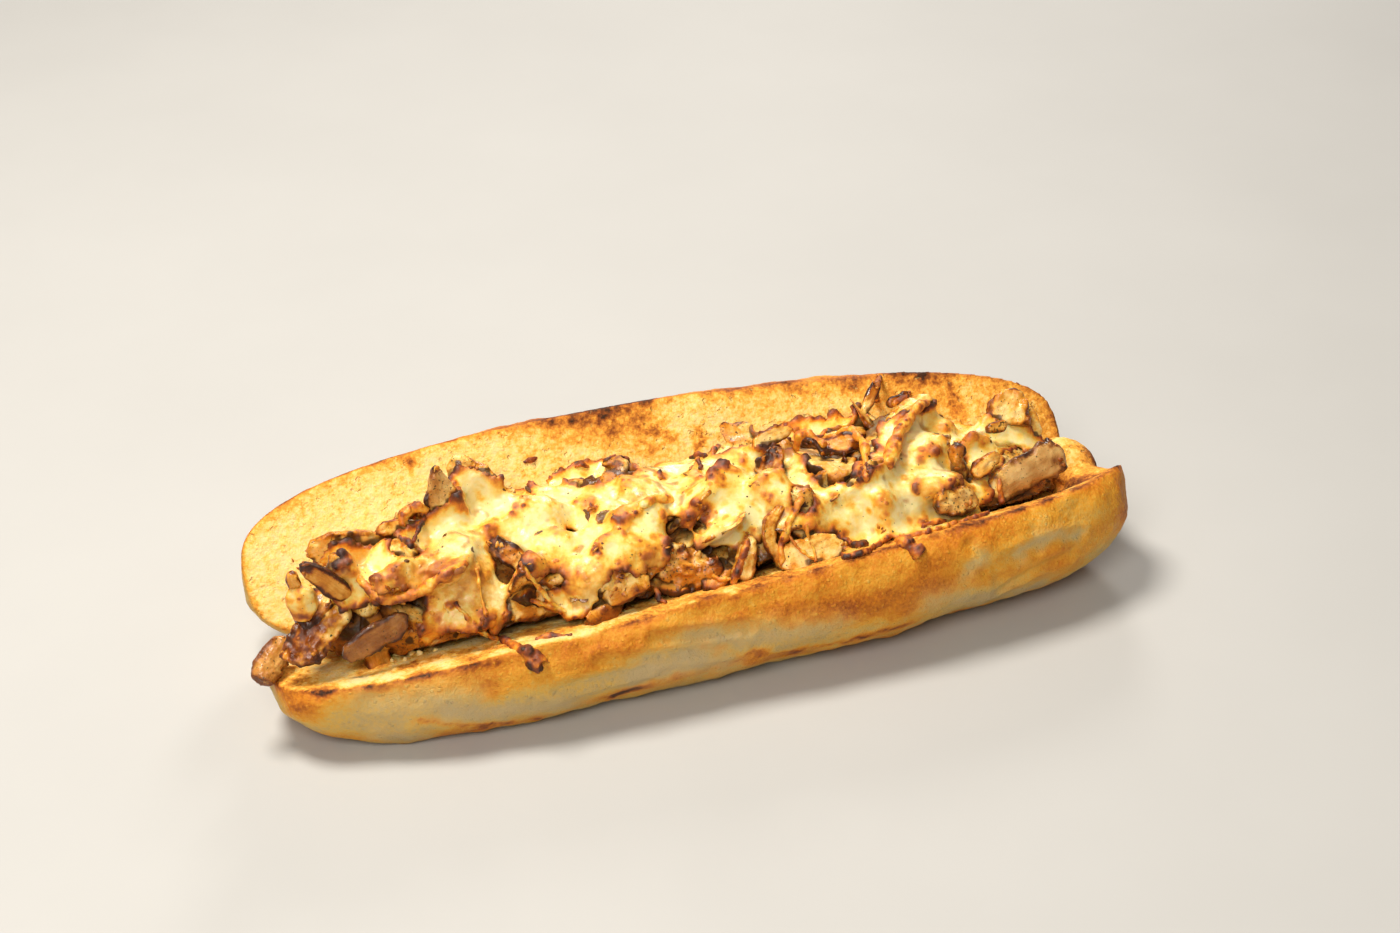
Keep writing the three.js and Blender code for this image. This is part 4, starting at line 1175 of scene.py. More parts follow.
# Where it lies thick or has left the meat bare: pixel of the photograph, radius in mm, amount
CHEESE_SPOTS = [
    (478, 500, 7, 2), (505, 505, 7, 2), (480, 535, 7, 2), (455, 545, 6, 2), (540, 540, 10, 2),
    (515, 520, 8, 2),
    (430, 625, 6, 2), (450, 600, 6, 2), (465, 580, 6, 2), (485, 600, 5, 1.5), (420, 640, 4, 2),
    (340, 550, 7, 1.5), (380, 545, 7, 1.5), (405, 535, 5, 1.5), (600, 540, 9, 2), (595, 575, 6, 2),
    (590, 600, 4, 2), (590, 520, 6, 2), (640, 540, 7, 2), (620, 550, 6, 2), (700, 500, 9, 2),
    (745, 490, 9, 2), (740, 530, 6, 2), (715, 545, 5, 2), (790, 470, 7, 2), (820, 515, 8, 2),
    (870, 510, 9, 2),
    (905, 480, 9, 2), (900, 515, 8, 2), (890, 440, 7, 2), (920, 430, 7, 2), (930, 500, 5, 2),
    (960, 430, 7, 1.5),
    (985, 460, 5, 2), (1000, 430, 4, 1), (660, 525, 5, 2),
    (293, 657, 7, -3), (320, 580, 5, -3), (298, 600, 6, -3), (385, 632, 7, -3), (395, 645, 6, -3),
    (260, 680, 8, -3),
    (345, 575, 6, 3), (340, 558, 5, 3), (340, 610, 5, 3), (325, 628, 6, 3), (312, 642, 5, 3),
    (350, 592, 5, 2),
    (372, 600, 4, 2), (372, 580, 5, 2), (570, 612, 3, 2), (385, 572, 5, 1.5), (405, 568, 5, 1.5),
    (450, 637, 2.5, -3),
    (555, 582, 4, -3), (520, 590, 5, -3), (500, 555, 4, -2), (673, 523, 1.6, -3), (700, 524, 1.6, -3),
    (690, 575, 8, -3), (730, 562, 4, -3), (748, 560, 5, -3), (775, 545, 4, -3), (805, 550, 6, -3),
    (835, 450, 9, -3), (805, 499, 3, -3), (1030, 470, 11, -3), (1015, 405, 6, -3), (436, 480, 6, -4),
    (446, 517, 4, 3), (452, 532, 4, 3), (440, 545, 4, 2), (462, 508, 4, 3),
    (600, 474, 5, -4), (620, 468, 5, -4), (640, 461, 5, -4), (660, 454, 5, -4), (680, 449, 5, -4),
    (700, 444, 5, -4),
    (720, 440, 5, -4), (740, 436, 5, -4), (760, 432, 4, -4),
    (1085, 460, 10, -4), (950, 495, 3, -2), (880, 395, 6, -2), (960, 455, 3, -2),
    (800, 562, 3, -6), (815, 559, 3, -6), (830, 556, 3, -6), (950, 527, 3, -5), (965, 521, 3, -6),
    (980, 517, 3, -6),
    (995, 511, 3, -6), (1010, 505, 3, -6), (510, 644, 5, -6), (533, 655, 6, -6), (540, 668, 6, -6),
    (900, 542, 5, -6), (916, 551, 6, -6), (925, 560, 5, -6),
    (470, 480, 6, 2), (488, 490, 6, 2), (458, 472, 4, 2), (1010, 432, 7, 2), (995, 442, 5, 2),
    (400, 580, 5, 3), (420, 574, 5, 3), (440, 568, 4, 3), (382, 586, 4, 2),
    (352, 560, 5, 2), (366, 562, 4, 2),
    (430, 638, 4, 2), (425, 650, 3, 1), (560, 605, 4, 3), (575, 603, 4, 3), (500, 622, 3, 2),
    (470, 612, 4, 2),
]
# What the heat browned: pixel, radius in mm, amount
TOASTED = [
    (304, 567, 3.5, 1.2), (298, 566, 3, 1.2), (300, 617, 3, 0.6), (310, 618, 3, 0.6), (290, 612, 2, 0.5),
    (345, 572, 3, 0.55), (340, 558, 3, 0.6), (347, 590, 3, 0.5), (338, 612, 3.5, 0.45), (325, 628, 4, 0.5),
    (310, 645, 4, 0.6), (305, 632, 2.5, 0.4), (430, 605, 4, 0.35), (372, 586, 3, 0.3), (600, 602, 3, 0.2),
    (622, 594, 3, 0.25), (452, 498, 2.5, 0.6), (459, 504, 2.5, 0.6), (466, 511, 2.2, 0.5),
    (436, 470, 3, 0.9), (481, 494, 2.5, 0.45), (517, 509, 3, 0.45), (475, 465, 2.2, 0.8),
    (457, 460, 1.5, 0.6),
    (501, 549, 3.5, 0.9), (490, 543, 2, 1.0), (526, 567, 2.5, 0.8), (475, 572, 2, 0.55),
    (457, 570, 1.6, 0.7),
    (550, 529, 3, 0.4), (555, 505, 2.5, 0.35), (577, 500, 2, 0.6), (544, 480, 2, 0.6), (562, 478, 2, 0.45),
    (593, 507, 1.6, 0.8), (602, 485, 1.5, 0.7), (620, 520, 3, 0.7), (637, 514, 2.2, 0.6),
    (660, 514, 2.6, 0.7),
    (660, 478, 2, 0.75), (687, 491, 4, 0.35), (682, 509, 2.4, 0.5), (705, 514, 3.6, 0.9),
    (700, 507, 2, 0.8),
    (698, 458, 2, 1.0), (751, 467, 2.6, 0.5), (731, 469, 2.2, 0.45), (742, 460, 2.2, 0.45),
    (769, 456, 3.2, 0.8),
    (763, 494, 2.2, 0.45), (635, 536, 3.2, 0.65), (597, 549, 2.2, 0.75), (667, 545, 3, 0.9),
    (649, 554, 3, 0.6),
    (617, 574, 3, 0.8), (573, 592, 3, 0.5), (555, 612, 2.2, 0.6), (537, 585, 1.8, 0.55),
    (747, 536, 1.6, 0.95),
    (774, 532, 3.4, 0.4), (400, 583, 4, 0.3), (426, 574, 4, 0.3), (725, 464, 2.4, 0.45),
    (744, 462, 2.2, 0.45), (774, 451, 2.6, 0.8), (768, 467, 2.2, 0.6),
    (782, 432, 2.2, 0.5), (763, 440, 2.2, 0.5), (800, 435, 3, 1.0), (808, 440, 3, 0.9), (827, 448, 3, 0.8),
    (859, 438, 3, 0.9), (865, 451, 3, 0.85), (865, 475, 2.4, 1.0), (881, 448, 2.6, 0.5), (822, 480, 3, 0.6),
    (835, 497, 3, 0.45), (776, 510, 3, 0.65), (744, 545, 2, 0.8), (830, 531, 2.4, 0.5),
    (843, 545, 1.6, 0.8), (861, 546, 1.8, 1.0), (881, 529, 2, 0.75), (924, 523, 2.6, 0.8),
    (942, 523, 2, 0.8),
    (875, 385, 2.4, 0.85), (880, 378, 1.6, 0.95), (905, 397, 2, 0.85), (918, 403, 2.4, 0.5),
    (910, 416, 2.6, 0.45),
    (902, 424, 2.4, 0.4), (893, 436, 2.4, 0.4), (974, 419, 2.2, 0.6), (980, 443, 3, 0.5),
    (937, 454, 2.6, 0.5),
    (958, 446, 2.4, 0.75), (961, 467, 2.6, 0.85), (891, 486, 2, 0.45), (915, 489, 2.4, 0.5),
    (993, 478, 2.6, 0.7),
    (1000, 505, 1.8, 0.85), (953, 489, 2.4, 0.55), (969, 505, 2, 0.75), (1025, 454, 2.4, 0.55),
    (1052, 443, 2.6, 0.95),
    (1060, 462, 2.2, 0.95), (1015, 387, 2.2, 0.95), (1031, 398, 2, 0.7), (302, 565, 2.6, 1.0),
    (331, 563, 2.4, 0.3),
    (346, 556, 2, 0.7), (331, 605, 2.4, 0.9), (297, 598, 1.8, 0.55), (293, 647, 4.5, 1.0),
    (310, 659, 4, 0.9), (318, 630, 3, 0.5), (388, 527, 2.4, 0.65), (411, 510, 2, 0.55),
    (421, 516, 1.6, 0.9),
    (405, 544, 2.4, 0.7), (377, 577, 2.4, 0.85), (390, 590, 2.6, 0.75), (428, 573, 3, 0.6),
    (415, 588, 2.6, 0.65),
    (453, 605, 2.2, 0.5), (476, 571, 1.8, 0.6), (485, 619, 2.4, 0.85), (436, 619, 2.4, 0.4),
    (508, 621, 2.6, 0.8),
    (305, 552, 2, 0.5), (340, 545, 2, 0.35), (365, 603, 2, 0.5), (660, 600, 3, 0.8), (690, 570, 4, 0.7),
    (640, 590, 3, 0.7), (715, 560, 3, 0.8), (760, 575, 2, 0.8), (790, 560, 2, 0.5), (675, 450, 2, 0.5),
    (700, 475, 3, 0.3), (720, 480, 3, 0.3), (650, 495, 2.4, 0.35), (530, 500, 3, 0.3),
    (850, 505, 2.5, 0.35),
]
# Greyish pools where the cheese went clear over the meat
CLEAR_POOLS = [
    (452, 532, 4, 1), (440, 545, 3, 0.9), (470, 543, 3, 0.7), (905, 506, 5, 0.9), (640, 500, 3, 0.4),
    (715, 545, 4, 0.6), (790, 468, 4, 0.4), (480, 478, 3, 0.5), (415, 628, 3, 0.4), (550, 525, 5, 0.35),
]
# Where it is so thin that the browned meat shows through
THIN_PLACES = [
    (332, 620, 5, 0.7), (312, 640, 5, 0.7), (345, 580, 4, 0.7), (465, 588, 7, 0.4), (490, 597, 7, 0.5),
    (515, 588, 6, 0.5), (532, 592, 6, 0.6), (545, 572, 5, 0.4), (440, 590, 6, 0.3),
    (475, 562, 5, 0.5), (600, 585, 6, 0.9), (628, 577, 7, 0.95), (650, 566, 5, 0.9), (400, 577, 6, 0.5),
    (425, 570, 6, 0.5),
    (450, 562, 5, 0.4), (580, 600, 4, 0.7), (640, 498, 5, 0.5), (620, 503, 5, 0.5), (498, 560, 4, 0.6),
    (755, 470, 3, 0.5),
    (700, 560, 5, 0.8), (780, 520, 4, 0.7), (955, 500, 4, 0.6), (990, 480, 4, 0.5), (830, 500, 4, 0.4),
    (372, 595, 4, 0.5),
]
BLISTER_HEIGHT = 1.4 * MM
DRAPE_REACH, DRAPE_SINK = 2.6 * MM, 1.6 * MM
CHEESE_THICK = 1.6 * MM
# How far the sheet may leave the frame's own cheese, and how wide it is browned along its edge
CHEESE_REACH = 3.2 * MM
BRINK = 0.35
# Its peaks and crests: how far round each is looked at, and how far it then stands out in full
PEAKS, CRESTS = (30, 2.0 * MM), (8, 0.5 * MM)
CHEESE_RELIEF = [(7 * MM, 1.2 * MM), (2.6 * MM, 0.3 * MM)]
# The film on the meat: how fast it ends away from the cheese, and where it is over
FILM_REACH, FILM_END = 3.0 * MM, 12 * MM


def near_cad_cheese(co):
    """1 on the frame's own cheese, falling below 0 away from it."""
    ob = merged_copy("melted_cheese", "cheese_place")
    tree = surface(ob)
    away = np.array([tree.find_nearest(Vector(p))[3] for p in co])
    bpy.data.objects.remove(ob)
    return 1 - away / CHEESE_REACH


def deleted(ob, mask):
    """Takes away the points of a mask."""
    only(ob)
    bpy.ops.object.mode_set(mode="EDIT")
    bpy.ops.mesh.select_mode(type="VERT")
    bpy.ops.mesh.select_all(action="DESELECT")
    bpy.ops.object.mode_set(mode="OBJECT")
    ob.data.vertices.foreach_set("select", mask)
    bpy.ops.object.mode_set(mode="EDIT")
    bpy.ops.mesh.delete(type="VERT")
    bpy.ops.object.mode_set(mode="OBJECT")


def draped(filling):
    """A skin that lies over heap and slices and bridges their gaps."""
    under = [copied(piece, f"under_{piece.name}") for piece in filling] + [merged_copy("roll", "under_roll")]
    cheese = remeshed(joined(under, "cheese_sheet"), DRAPE_GRAIN, 2)
    finished(cheese, "DISPLACE", strength=DRAPE_REACH, mid_level=0)
    remeshed(cheese, DRAPE_GRAIN, 4)
    finished(cheese, "DISPLACE", strength=-DRAPE_SINK, mid_level=0)
    return remeshed(cheese, DRAPE_GRAIN, 2)


def melted_cheese(filling):
    """The sheet of cheese, cut out of that skin, gone through in places and browned."""
    cheese = draped(filling)
    co = points(cheese)
    tree = surface(cheese)
    amount = near_cad_cheese(co) + 0.7 * unevenness(co, 7 * MM, 5.5) + 0.35 * unevenness(co, 3 * MM, 9.1)
    amount -= 3 * near_to(co, spots_on(tree, DEEP_PLACES))
    amount = spread_out(cheese, amount + near_to(co, spots_on(tree, CHEESE_SPOTS)), 2)
    kept = amount >= 0
    deleted(cheese, ~kept)
    finished(cheese, "SOLIDIFY", thickness=CHEESE_THICK, offset=-1)
    remeshed(cheese, CHEESE_GRAIN, 4)
    for size, height in CHEESE_RELIEF:
        roughened(cheese, size, height)
    tree, amount = lookup(co[kept]), amount[kept]
    co = points(cheese)
    brink = np.exp(-np.array([amount[tree.find(p)[1]] for p in co]) / BRINK)
    peaks = standing_out(cheese, *PEAKS)
    fine = unevenness(co, 2.2 * MM, 1.2)
    browned = near_to(co, spots_on(surface(cheese), TOASTED)) * (1 + 0.5 * fine)
    browned = 0.50 * browned + 0.17 * step_up(browned + 0.12 * fine, 0.18, 0.34)
    crests = standing_out(cheese, *CRESTS)
    toast = 0.08 + 0.60 * peaks + 0.36 * crests + 0.32 * unevenness(co, 9 * MM, 1.1) + 0.30 * brink + browned
    risen = BLISTER_HEIGHT * step_up(toast, 0.35, 0.9) * (0.6 + fine)
    set_points(cheese, co + normals(cheese) * risen[:, None])
    tree = surface(cheese)
    paint(cheese, "toast", toast)
    paint(cheese, "clear", near_to(co, spots_on(tree, CLEAR_POOLS)))
    paint(cheese, "thin", near_to(co, spots_on(tree, THIN_PLACES)) + 0.1 * fine)
    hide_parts("melted_cheese")
    return placed(cheese, cheese_finish())


def browned_meat(filling, cheese):
    """Browns the meat at the same places as the cheese, and coats it near the cheese."""
    spots = spots_on(surface_of(filling), TOASTED)
    cover = surface(cheese)
    for piece in filling:
        co = points(piece)
        away = np.array([cover.find_nearest(Vector(p), FILM_END)[3] or FILM_END for p in co])
        upward = step_up(normals(piece)[:, 2], -0.2, 0.6)
        coat = COATED.get(piece.name.removesuffix("_meat"), 0)
        paint(piece, "film", np.exp(-away / FILM_REACH) * (0.4 + 0.6 * upward) + coat)
        browned = near_to(co, spots) * (1 + 0.5 * unevenness(co, 2.5 * MM, 4))
        paint(piece, "char", painted_on(piece, "char") + browned)


# Gaps that go deep into the filling: the cheese opens there, and what lies in them gets a near-black
# painted shadow
DEEP_PLACES = [
    (556, 584, 1.8, 1), (522, 604, 2.3, 1), (536, 606, 2.3, 1), (455, 634, 1.5, 1), (465, 632, 1.8, 1),
    (476, 633, 1.5, 1),
    (675, 523, 1.5, 1), (698, 525, 1.6, 1), (712, 556, 2.2, 1), (721, 562, 2.4, 1), (728, 570, 1.8, 1),
    (760, 566, 2.5, 1),
    (767, 572, 2, 1), (757, 573, 2, 1), (763, 482, 1.5, 0.9), (806, 500, 2, 1), (801, 505, 1.6, 1),
    (396, 546, 1.3, 0.9),
    (410, 548, 1.5, 1), (424, 551, 1.5, 1), (352, 636, 4, 1), (345, 650, 3.5, 1), (361, 624, 3, 1),
    (331, 607, 2.8, 1),
    (815, 468, 2.6, 1), (832, 470, 2.6, 1), (850, 478, 2.4, 1), (872, 482, 2, 1), (923, 433, 1.6, 1),
    (985, 507, 1.8, 1),
    (1048, 483, 1.5, 1), (1070, 466, 1.4, 1), (1002, 500, 2, 1), (408, 640, 2, 1), (330, 664, 2, 1),
    (890, 470, 1.6, 0.8), (580, 607, 1.5, 0.9),
]
# How closed in a place is, is asked once for each cube of this size, by rays of this length
HOLLOW_GRAIN, HOLLOW_REACH = 2 * MM, 22 * MM
HOLLOW_RAYS, HOLLOW_START = 16, 0.5 * MM


def shaded_hollows(pieces, tree):
    """How closed in each place is, 0 to 1, painted as shade in the gaps, with a near-black painted
    shadow in the deep ones.
    """
    golden = math.pi * (3 - math.sqrt(5))
    deep = spots_on(tree, DEEP_PLACES)
    ways = []
    for i in range(HOLLOW_RAYS):
        up = 1 - 2 * (i + 0.5) / HOLLOW_RAYS
        flat = math.sqrt(1 - up * up)
        ways.append(Vector((flat * math.cos(golden * i), flat * math.sin(golden * i), up)) * 0.95)
    for piece in pieces:
        co, way = points(piece), normals(piece)
        cells = np.floor(co / HOLLOW_GRAIN).astype(int)
        _, first, whose = np.unique(cells, axis=0, return_index=True, return_inverse=True)
        closed = []
        for p, out in zip(co[first], way[first]):
            out = Vector(out)
            start = Vector(p) + out * HOLLOW_START
            blocked = 0
            for ray in ways:
                hit, _, _, away = tree.ray_cast(start, (out + ray).normalized(), HOLLOW_REACH)
                if hit:
                    blocked += 1 - 0.6 * away / HOLLOW_REACH
            closed.append(blocked / HOLLOW_RAYS)
        closed = spread_out(piece, np.array(closed)[whose.ravel()], 4)
        # Painted shade by how closed in each place is, and painted shadow in the deep gaps
        paint(piece, "hollow", closed)
        paint(piece, "deep", near_to(co, deep) * step_up(closed, 0.2, 0.45))


def cheese_lump(name, back_start, back_end, thickness, toast, places):
    """A lump of melted cheese along a drawn line."""
    lump = meat_slice(name, back_start, back_end, thickness, 0, 0, 0, places)
    lump.name = name
    finished(lump, "SMOOTH", factor=0.5, iterations=25)
    co = points(lump)
    browned = near_to(co, spots_on(surface(lump), TOASTED))
    edge = 0.25 * painted_on(lump, "edge") ** 3
    paint(lump, "toast", toast + 0.2 * unevenness(co, 4 * MM, 5.1) + edge + browned)
    return lump


# Strands of cheese and scraps of crisp meat, by the pixels along them with a radius in mm, and how
# brown each is. The first and last places are on the food, and the rest hangs between them
STRANDS = [
    (0.60, [(358, 578, 1.0), (372, 594, 1.5), (395, 601, 1.8), (420, 592, 1.9), (445, 575, 1.7),
    (468, 562, 1.1)]),
    (0.30, [(476, 568, 0.7), (481, 590, 0.6), (486, 614, 0.9)]),
    (0.38, [(520, 562, 0.8), (533, 580, 0.8), (546, 597, 0.9), (562, 612, 1.1)]),
    (0.45, [(455, 602, 0.9), (468, 620, 0.9), (484, 634, 1.0), (500, 640, 0.8)]),
    (0.35, [(530, 600, 0.7), (546, 606, 0.8), (566, 612, 0.9)]),
    (0.65, [(733, 584, 1.3), (741, 562, 1.4), (747, 537, 0.8)]),
    (0.55, [(803, 498, 1.1), (791, 520, 1.5), (781, 545, 1.3), (782, 566, 0.8)]),
    (0.50, [(784, 528, 0.8), (797, 548, 0.7), (814, 560, 0.7)]),
    (0.50, [(806, 524, 0.6), (812, 545, 0.5), (816, 562, 0.6)]),
    (0.80, [(655, 588, 0.6), (659, 598, 0.9), (668, 603, 1.0)]),
    (0.85, [(842, 538, 0.8), (852, 544, 1.0), (861, 546, 1.7), (866, 545, 1.2)]),
    (0.70, [(998, 470, 0.9), (1000, 488, 0.9), (1001, 503, 1.6)]),
    (0.90, [(413, 542, 0.8), (420, 526, 0.9), (426, 512, 0.7)]),
    (0.55, [(402, 526, 1.2), (404, 513, 1.6), (415, 507, 1.7), (429, 510, 1.1)]),
    (0.50, [(796, 450, 1.2), (799, 436, 1.6), (810, 434, 1.5), (824, 446, 1.1)]),
    (0.50, [(838, 434, 1.1), (852, 430, 1.4), (862, 440, 1.5), (866, 456, 1.4), (866, 480, 1.2)]),
    (0.85, [(690, 458, 0.7), (698, 455, 1.3), (706, 457, 0.9)]),
    (0.85, [(700, 470, 0.7), (699, 460, 0.9)]),
    (0.85, [(524, 463, 0.5), (530, 460, 0.9), (537, 457, 0.5)]),
    (0.70, [(574, 467, 0.5), (582, 464, 0.8), (590, 467, 0.5)]),
    (0.70, [(922, 526, 0.8), (935, 521, 1.1), (946, 522, 0.7)]),
    (0.62, [(876, 400, 1.2), (876, 386, 1.3), (880, 377, 0.8)]),
    (0.80, [(893, 405, 0.9), (904, 398, 1.1), (909, 392, 0.7)]),
    (0.45, [(888, 466, 1.8), (893, 445, 2.2), (904, 425, 2.3), (918, 406, 1.8), (927, 402, 1.2)]),
    (0.30, [(640, 505, 1.2), (655, 498, 1.4), (672, 500, 1.2)]),
    (0.30, [(712, 575, 0.8), (724, 580, 0.7), (738, 578, 0.7)]),
]
# Runs of cheese down the near crust
RUNS = [
    (0.80, [(490, 638, 1.0), (500, 640, 1.4), (509, 643, 1.7), (522, 650, 1.9), (533, 657, 2.7),
    (539, 663, 3.0),
            (541, 667, 2.2)]),
    (0.66, [(882, 532, 1.3), (892, 536, 1.9), (904, 542, 2.3), (914, 549, 2.8), (920, 553, 2.4)]),
    (0.75, [(535, 640, 0.8), (552, 637, 1.1), (572, 635, 0.9)]),
]
STRAND_STRAY = 0.45 * MM
STRAND_RELIEF = 1.6 * MM, 0.9 * MM


def wandered(path):
    """More places along a strand, each a little off its line, and thicker or thinner."""
    out = [path[0]]
    for (start, thick), (end, next_thick) in zip(path, path[1:]):
        for share in (1 / 3, 2 / 3, 1):
            stray = Vector(random.uniform(-1, 1) for _ in range(3)) * STRAND_STRAY
            radius = (thick + (next_thick - thick) * share) * random.uniform(0.6, 1.35)
            out.append((start.lerp(end, share) + stray, radius))
    return out


def strand(name, path, toast):
    """One strand through these places, with a radius at each."""
    curve = bpy.data.curves.new(name, "CURVE")
    curve.dimensions = "3D"
    curve.bevel_depth = 1
    curve.bevel_resolution = 3
    curve.resolution_u = 6
    curve.use_fill_caps = True
    spline = curve.splines.new("NURBS")
    path = wandered(path)
    spline.points.add(len(path) - len(spline.points))
    for point, (place, radius) in zip(spline.points, path):
        point.co = (*place, 1)
        point.radius = radius
    spline.order_u = 3
    spline.use_endpoint_u = True
    ob = bpy.data.objects.new(name, curve)
    bpy.context.scene.collection.objects.link(ob)
    only(ob)
    bpy.ops.object.convert(target="MESH")
    ob = bpy.context.object
    remeshed(ob, STRAND_GRAIN, 2)
    roughened(ob, *STRAND_RELIEF)
    co = points(ob)
    paint(ob, "toast", 0.9 * toast + 0.4 * unevenness(co, 3 * MM, 6.5) + 0.2 * standing_out(ob, 8, 0.4 * MM))
    return ob


def strands(food, crust):
    """All strands, scraps and runs, as one piece."""
    made = []
    for i, (toast, row) in enumerate(STRANDS):
        ends = [seen_at(food, px, py)[0] for px, py, _ in (row[0], row[-1])]
        if None in ends:
            continue
        near, far = ((end - CAMERA_AT).length for end in ends)
        path = []
        for step, (px, py, radius) in enumerate(row):
            away = near + (far - near) * step / (len(row) - 1)
            hit, _ = seen_at(food, px, py)
            if hit:
                away = min(away, (hit - CAMERA_AT).length)
            path.append((CAMERA_AT + camera_ray(px, py) * (away - 0.3 * radius * MM), radius * MM))
        made.append(strand(f"strand_{i}", path, toast))
    for i, (toast, row) in enumerate(RUNS):
        path = [(seen_at(crust, px, py)[0], radius * MM) for px, py, radius in row]
        made.append(strand(f"run_{i}", path, toast))
    cheese = joined(made, "cheese_strands")
    paint(cheese, "clear", 0)
    return placed(cheese, bpy.data.materials["melted_cheese"])


# Bits

FULL_TURN = 6.3
FLECKS = 170
FLECK_SHADES = [(0.0, (0.06, 0.035, 0.012)), (0.5, (0.10, 0.09, 0.02)), (1.0, (0.26, 0.10, 0.02))]
CRISPS_EACH = 3
CRISP_REACH = 5 * MM
# Only food above these heights gets flecks or crisp bits, and only places browned this much get crisp bits
FLECK_LOWEST, CRISP_LOWEST = 30 * MM, 25 * MM
CRISP_FROM = 0.75
# Sizes of the bits in mm, from and to
FLECK_SIZES = (0.2, 0.6), (0.15, 0.35), (0.10, 0.2)
CRISP_SIZES = (0.5, 1.5), (0.3, 0.8), (0.2, 0.5)
# Torn bits of crumb along the cut: pixel and radius in mm
CRUMBS = [
    (392, 661, 0.8), (405, 660, 0.7), (420, 654, 0.9), (436, 650, 0.7), (378, 652, 1.6), (386, 650, 1.9),
    (393, 648, 1.4), (401, 650, 1.7), (408, 647, 2.0), (418, 646, 1.5),
    (372, 656, 1.2), (430, 645, 1.2), (398, 655, 1.2), (412, 653, 1.2),
]


def scattered(name, template, places, sizes, ways, material):
    """Copies of a small piece at many places, as one piece."""
    made = []
    for i, (place, size, way) in enumerate(zip(places, sizes, ways)):
        copy = copied(template, f"{name}_{i}")
        turn = way.to_track_quat("Z", "Y").to_matrix().to_4x4()
        turn = turn @ Matrix.Rotation(random.uniform(0, FULL_TURN), 4, "Z")
        copy.data.transform(Matrix.Translation(place) @ turn @ Matrix.Diagonal((*size, 1)))
        made.append(copy)
    bpy.data.objects.remove(template)
    return placed(joined(made, name), material)


def grit(offset, seed):
    """A small uneven grain."""
    grain = added(bpy.ops.mesh.primitive_ico_sphere_add, subdivisions=1, radius=1)
    return edited(grain, bpy.ops.transform.vertex_random, offset=offset, seed=seed)


def flecks(food):
    """Pepper and dried herbs on the cheese and the meat."""
    template = grit(0.35, 3)
    low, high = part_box("meat_heap")
    places, sizes, ways = [], [], []
    while len(places) < FLECKS:
        x, y = random.uniform(low.x, high.x), random.uniform(-34, 26) * MM
        hit, way, _, _ = food.ray_cast(Vector((x, y, ABOVE)), Vector((0, 0, -1)))
        if not hit or hit.z < FLECK_LOWEST:
            continue
        places.append(hit)
        ways.append(way)
        sizes.append([random.uniform(*span) * MM for span in FLECK_SIZES])
    f = Finish("pepper_and_herbs")
    finish = f.done(f.ramp(f.noise(6 * MM, 2), FLECK_SHADES), 0.7)
    herbs = scattered("pepper_flecks", template, places, sizes, ways, finish)


def crisps(food, finish):
    """Small crisp bits on whatever is browned the most."""
    template = grit(0.5, 5)
    places, sizes, ways = [], [], []
    for px, py, radius, amount in TOASTED:
        spot, _ = seen_at(food, px, py)
        if amount < CRISP_FROM or not spot:
            continue
        for _ in range(CRISPS_EACH):
            spread = radius * 2
            beside = px + random.uniform(-spread, spread), py + random.uniform(-spread, spread)
            hit, way = seen_at(food, *beside)
            if hit and hit.z > CRISP_LOWEST and (hit - spot).length < CRISP_REACH:
                places.append(hit)
                ways.append((way + Vector(random.uniform(-0.7, 0.7) for _ in range(3))).normalized())
                sizes.append([random.uniform(*span) * MM for span in CRISP_SIZES])
    bits = scattered("crisp_bits", template, places, sizes, ways, finish)
    co = points(bits)
    paint(bits, "tone", 0.62 + 0.5 * unevenness(co, 5 * MM, 2.8))
    paint(bits, "char", 0.3 + 0.5 * unevenness(co, 3 * MM, 9.8))


def torn_crumbs(crust, finish):
    """Torn bits of crumb along the cut."""
    template = added(bpy.ops.mesh.primitive_ico_sphere_add, subdivisions=3, radius=1)
    roughened(template, 0.7, 0.9)
    hits = [(seen_at(crust, px, py), radius * MM) for px, py, radius in CRUMBS]
    places = [hit + way * 0.2 * radius for (hit, way), radius in hits if hit]
    sizes = [[radius * random.uniform(0.7, 1.3) for _ in range(3)] for (hit, _), radius in hits if hit]
    ways = [way for (hit, way), _ in hits if hit]
    crumbs = scattered("torn_crumbs", template, places, sizes, ways, finish)
    paint(crumbs, "crumb", 1)
    paint(crumbs, "bake", 0.08)


# The studio

FLOOR_SIZE = 5.0
FLOOR_SHADES = (0.46, 0.45, 0.435), (0.51, 0.50, 0.485)
# Soft lights: name, place, diameter, power and colour. They all face the same point
LIGHTS = [
    ("softbox_top", (-0.30, 0.22, 1.05), 0.4, 14.0, (1.0, 0.955, 0.87)),
    ("softbox_front", (-0.45, -0.70, 0.80), 0.5, 7.0, (1.0, 0.955, 0.88)),
    ("softbox_back", (0.45, 0.95, 0.60), 0.3, 4.5, (1.0, 0.96, 0.90)),
]
LIT_POINT = Vector((0, 0, 0.02))
SKY_SHADE, SKY_STRENGTH = (1.0, 0.965, 0.90), 0.18


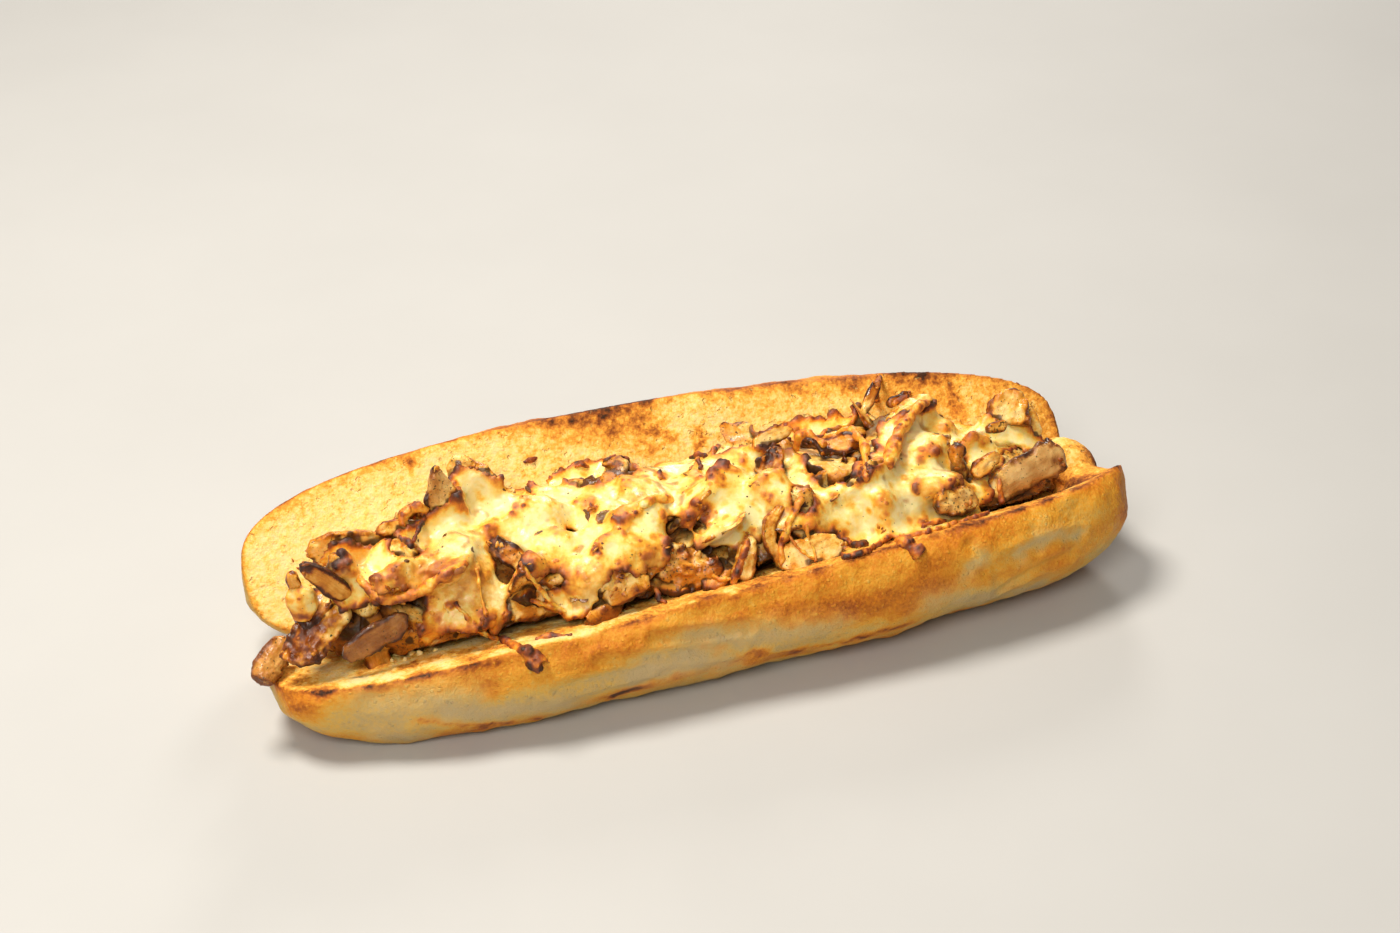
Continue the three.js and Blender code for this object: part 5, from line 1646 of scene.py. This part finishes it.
def floor():
    """A plain pale floor."""
    ground = added(bpy.ops.mesh.primitive_plane_add, size=FLOOR_SIZE, location=(0, 0, 0))
    ground.name = "floor"
    f = Finish("pale_floor")
    ground.data.materials.append(f.done(f.mix(f.noise(0.12, 4), *FLOOR_SHADES), 0.75))


def area_light(name, place, size, power, colour):
    light = bpy.data.lights.new(name, "AREA")
    light.shape = "DISK"
    light.size = size
    light.energy = power
    light.color = colour
    ob = bpy.data.objects.new(name, light)
    bpy.context.scene.collection.objects.link(ob)
    ob.location = place
    ob.rotation_euler = (LIT_POINT - Vector(place)).to_track_quat("-Z", "Y").to_euler()


def studio():
    for row in LIGHTS:
        area_light(*row)
    world = bpy.data.worlds.new("studio")
    bpy.context.scene.world = world
    world.use_nodes = True
    world.node_tree.nodes["Background"].inputs["Color"].default_value = (*SKY_SHADE, 1)
    world.node_tree.nodes["Background"].inputs["Strength"].default_value = SKY_STRENGTH
    bpy.context.scene.view_settings.view_transform = "Standard"


def camera():
    data = bpy.data.cameras.new("camera")
    data.lens = LENS
    data.sensor_width = SENSOR
    data.sensor_fit = "HORIZONTAL"
    ob = bpy.data.objects.new("camera", data)
    bpy.context.scene.collection.objects.link(ob)
    ob.location = CAMERA_AT
    ob.rotation_euler = (-CAMERA_BACK).to_track_quat("-Z", "Y").to_euler()
    bpy.context.scene.camera = ob


camera()
studio()
floor()
bread = roll()
grilled = meat_finish()
pile = heap(grilled)
buried = buried_slices(pile, grilled)
slices = {}
for node, row in SLICES.items():
    slices[node] = placed(meat_slice(node, *row), grilled)
    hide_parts(node)
for name, row in SCRAPS.items():
    slices[name] = placed(meat_slice(name, *row), grilled)
cheese = melted_cheese([pile, buried] + [piece for name, piece in slices.items() if name not in BARE])
filling = [pile, buried, *slices.values()]
browned_meat(filling, cheese)
crust = surface(bread)
lumps = [placed(cheese_lump(name, *row), cheese.data.materials[0]) for name, row in LUMPS.items()]
food = surface_of([*filling, *lumps, cheese, bread])
shaded_hollows([*filling, *lumps, cheese, bread], food)
strands(food, crust)
flecks(food)
crisps(food, grilled)
torn_crumbs(crust, bread.data.materials[0])
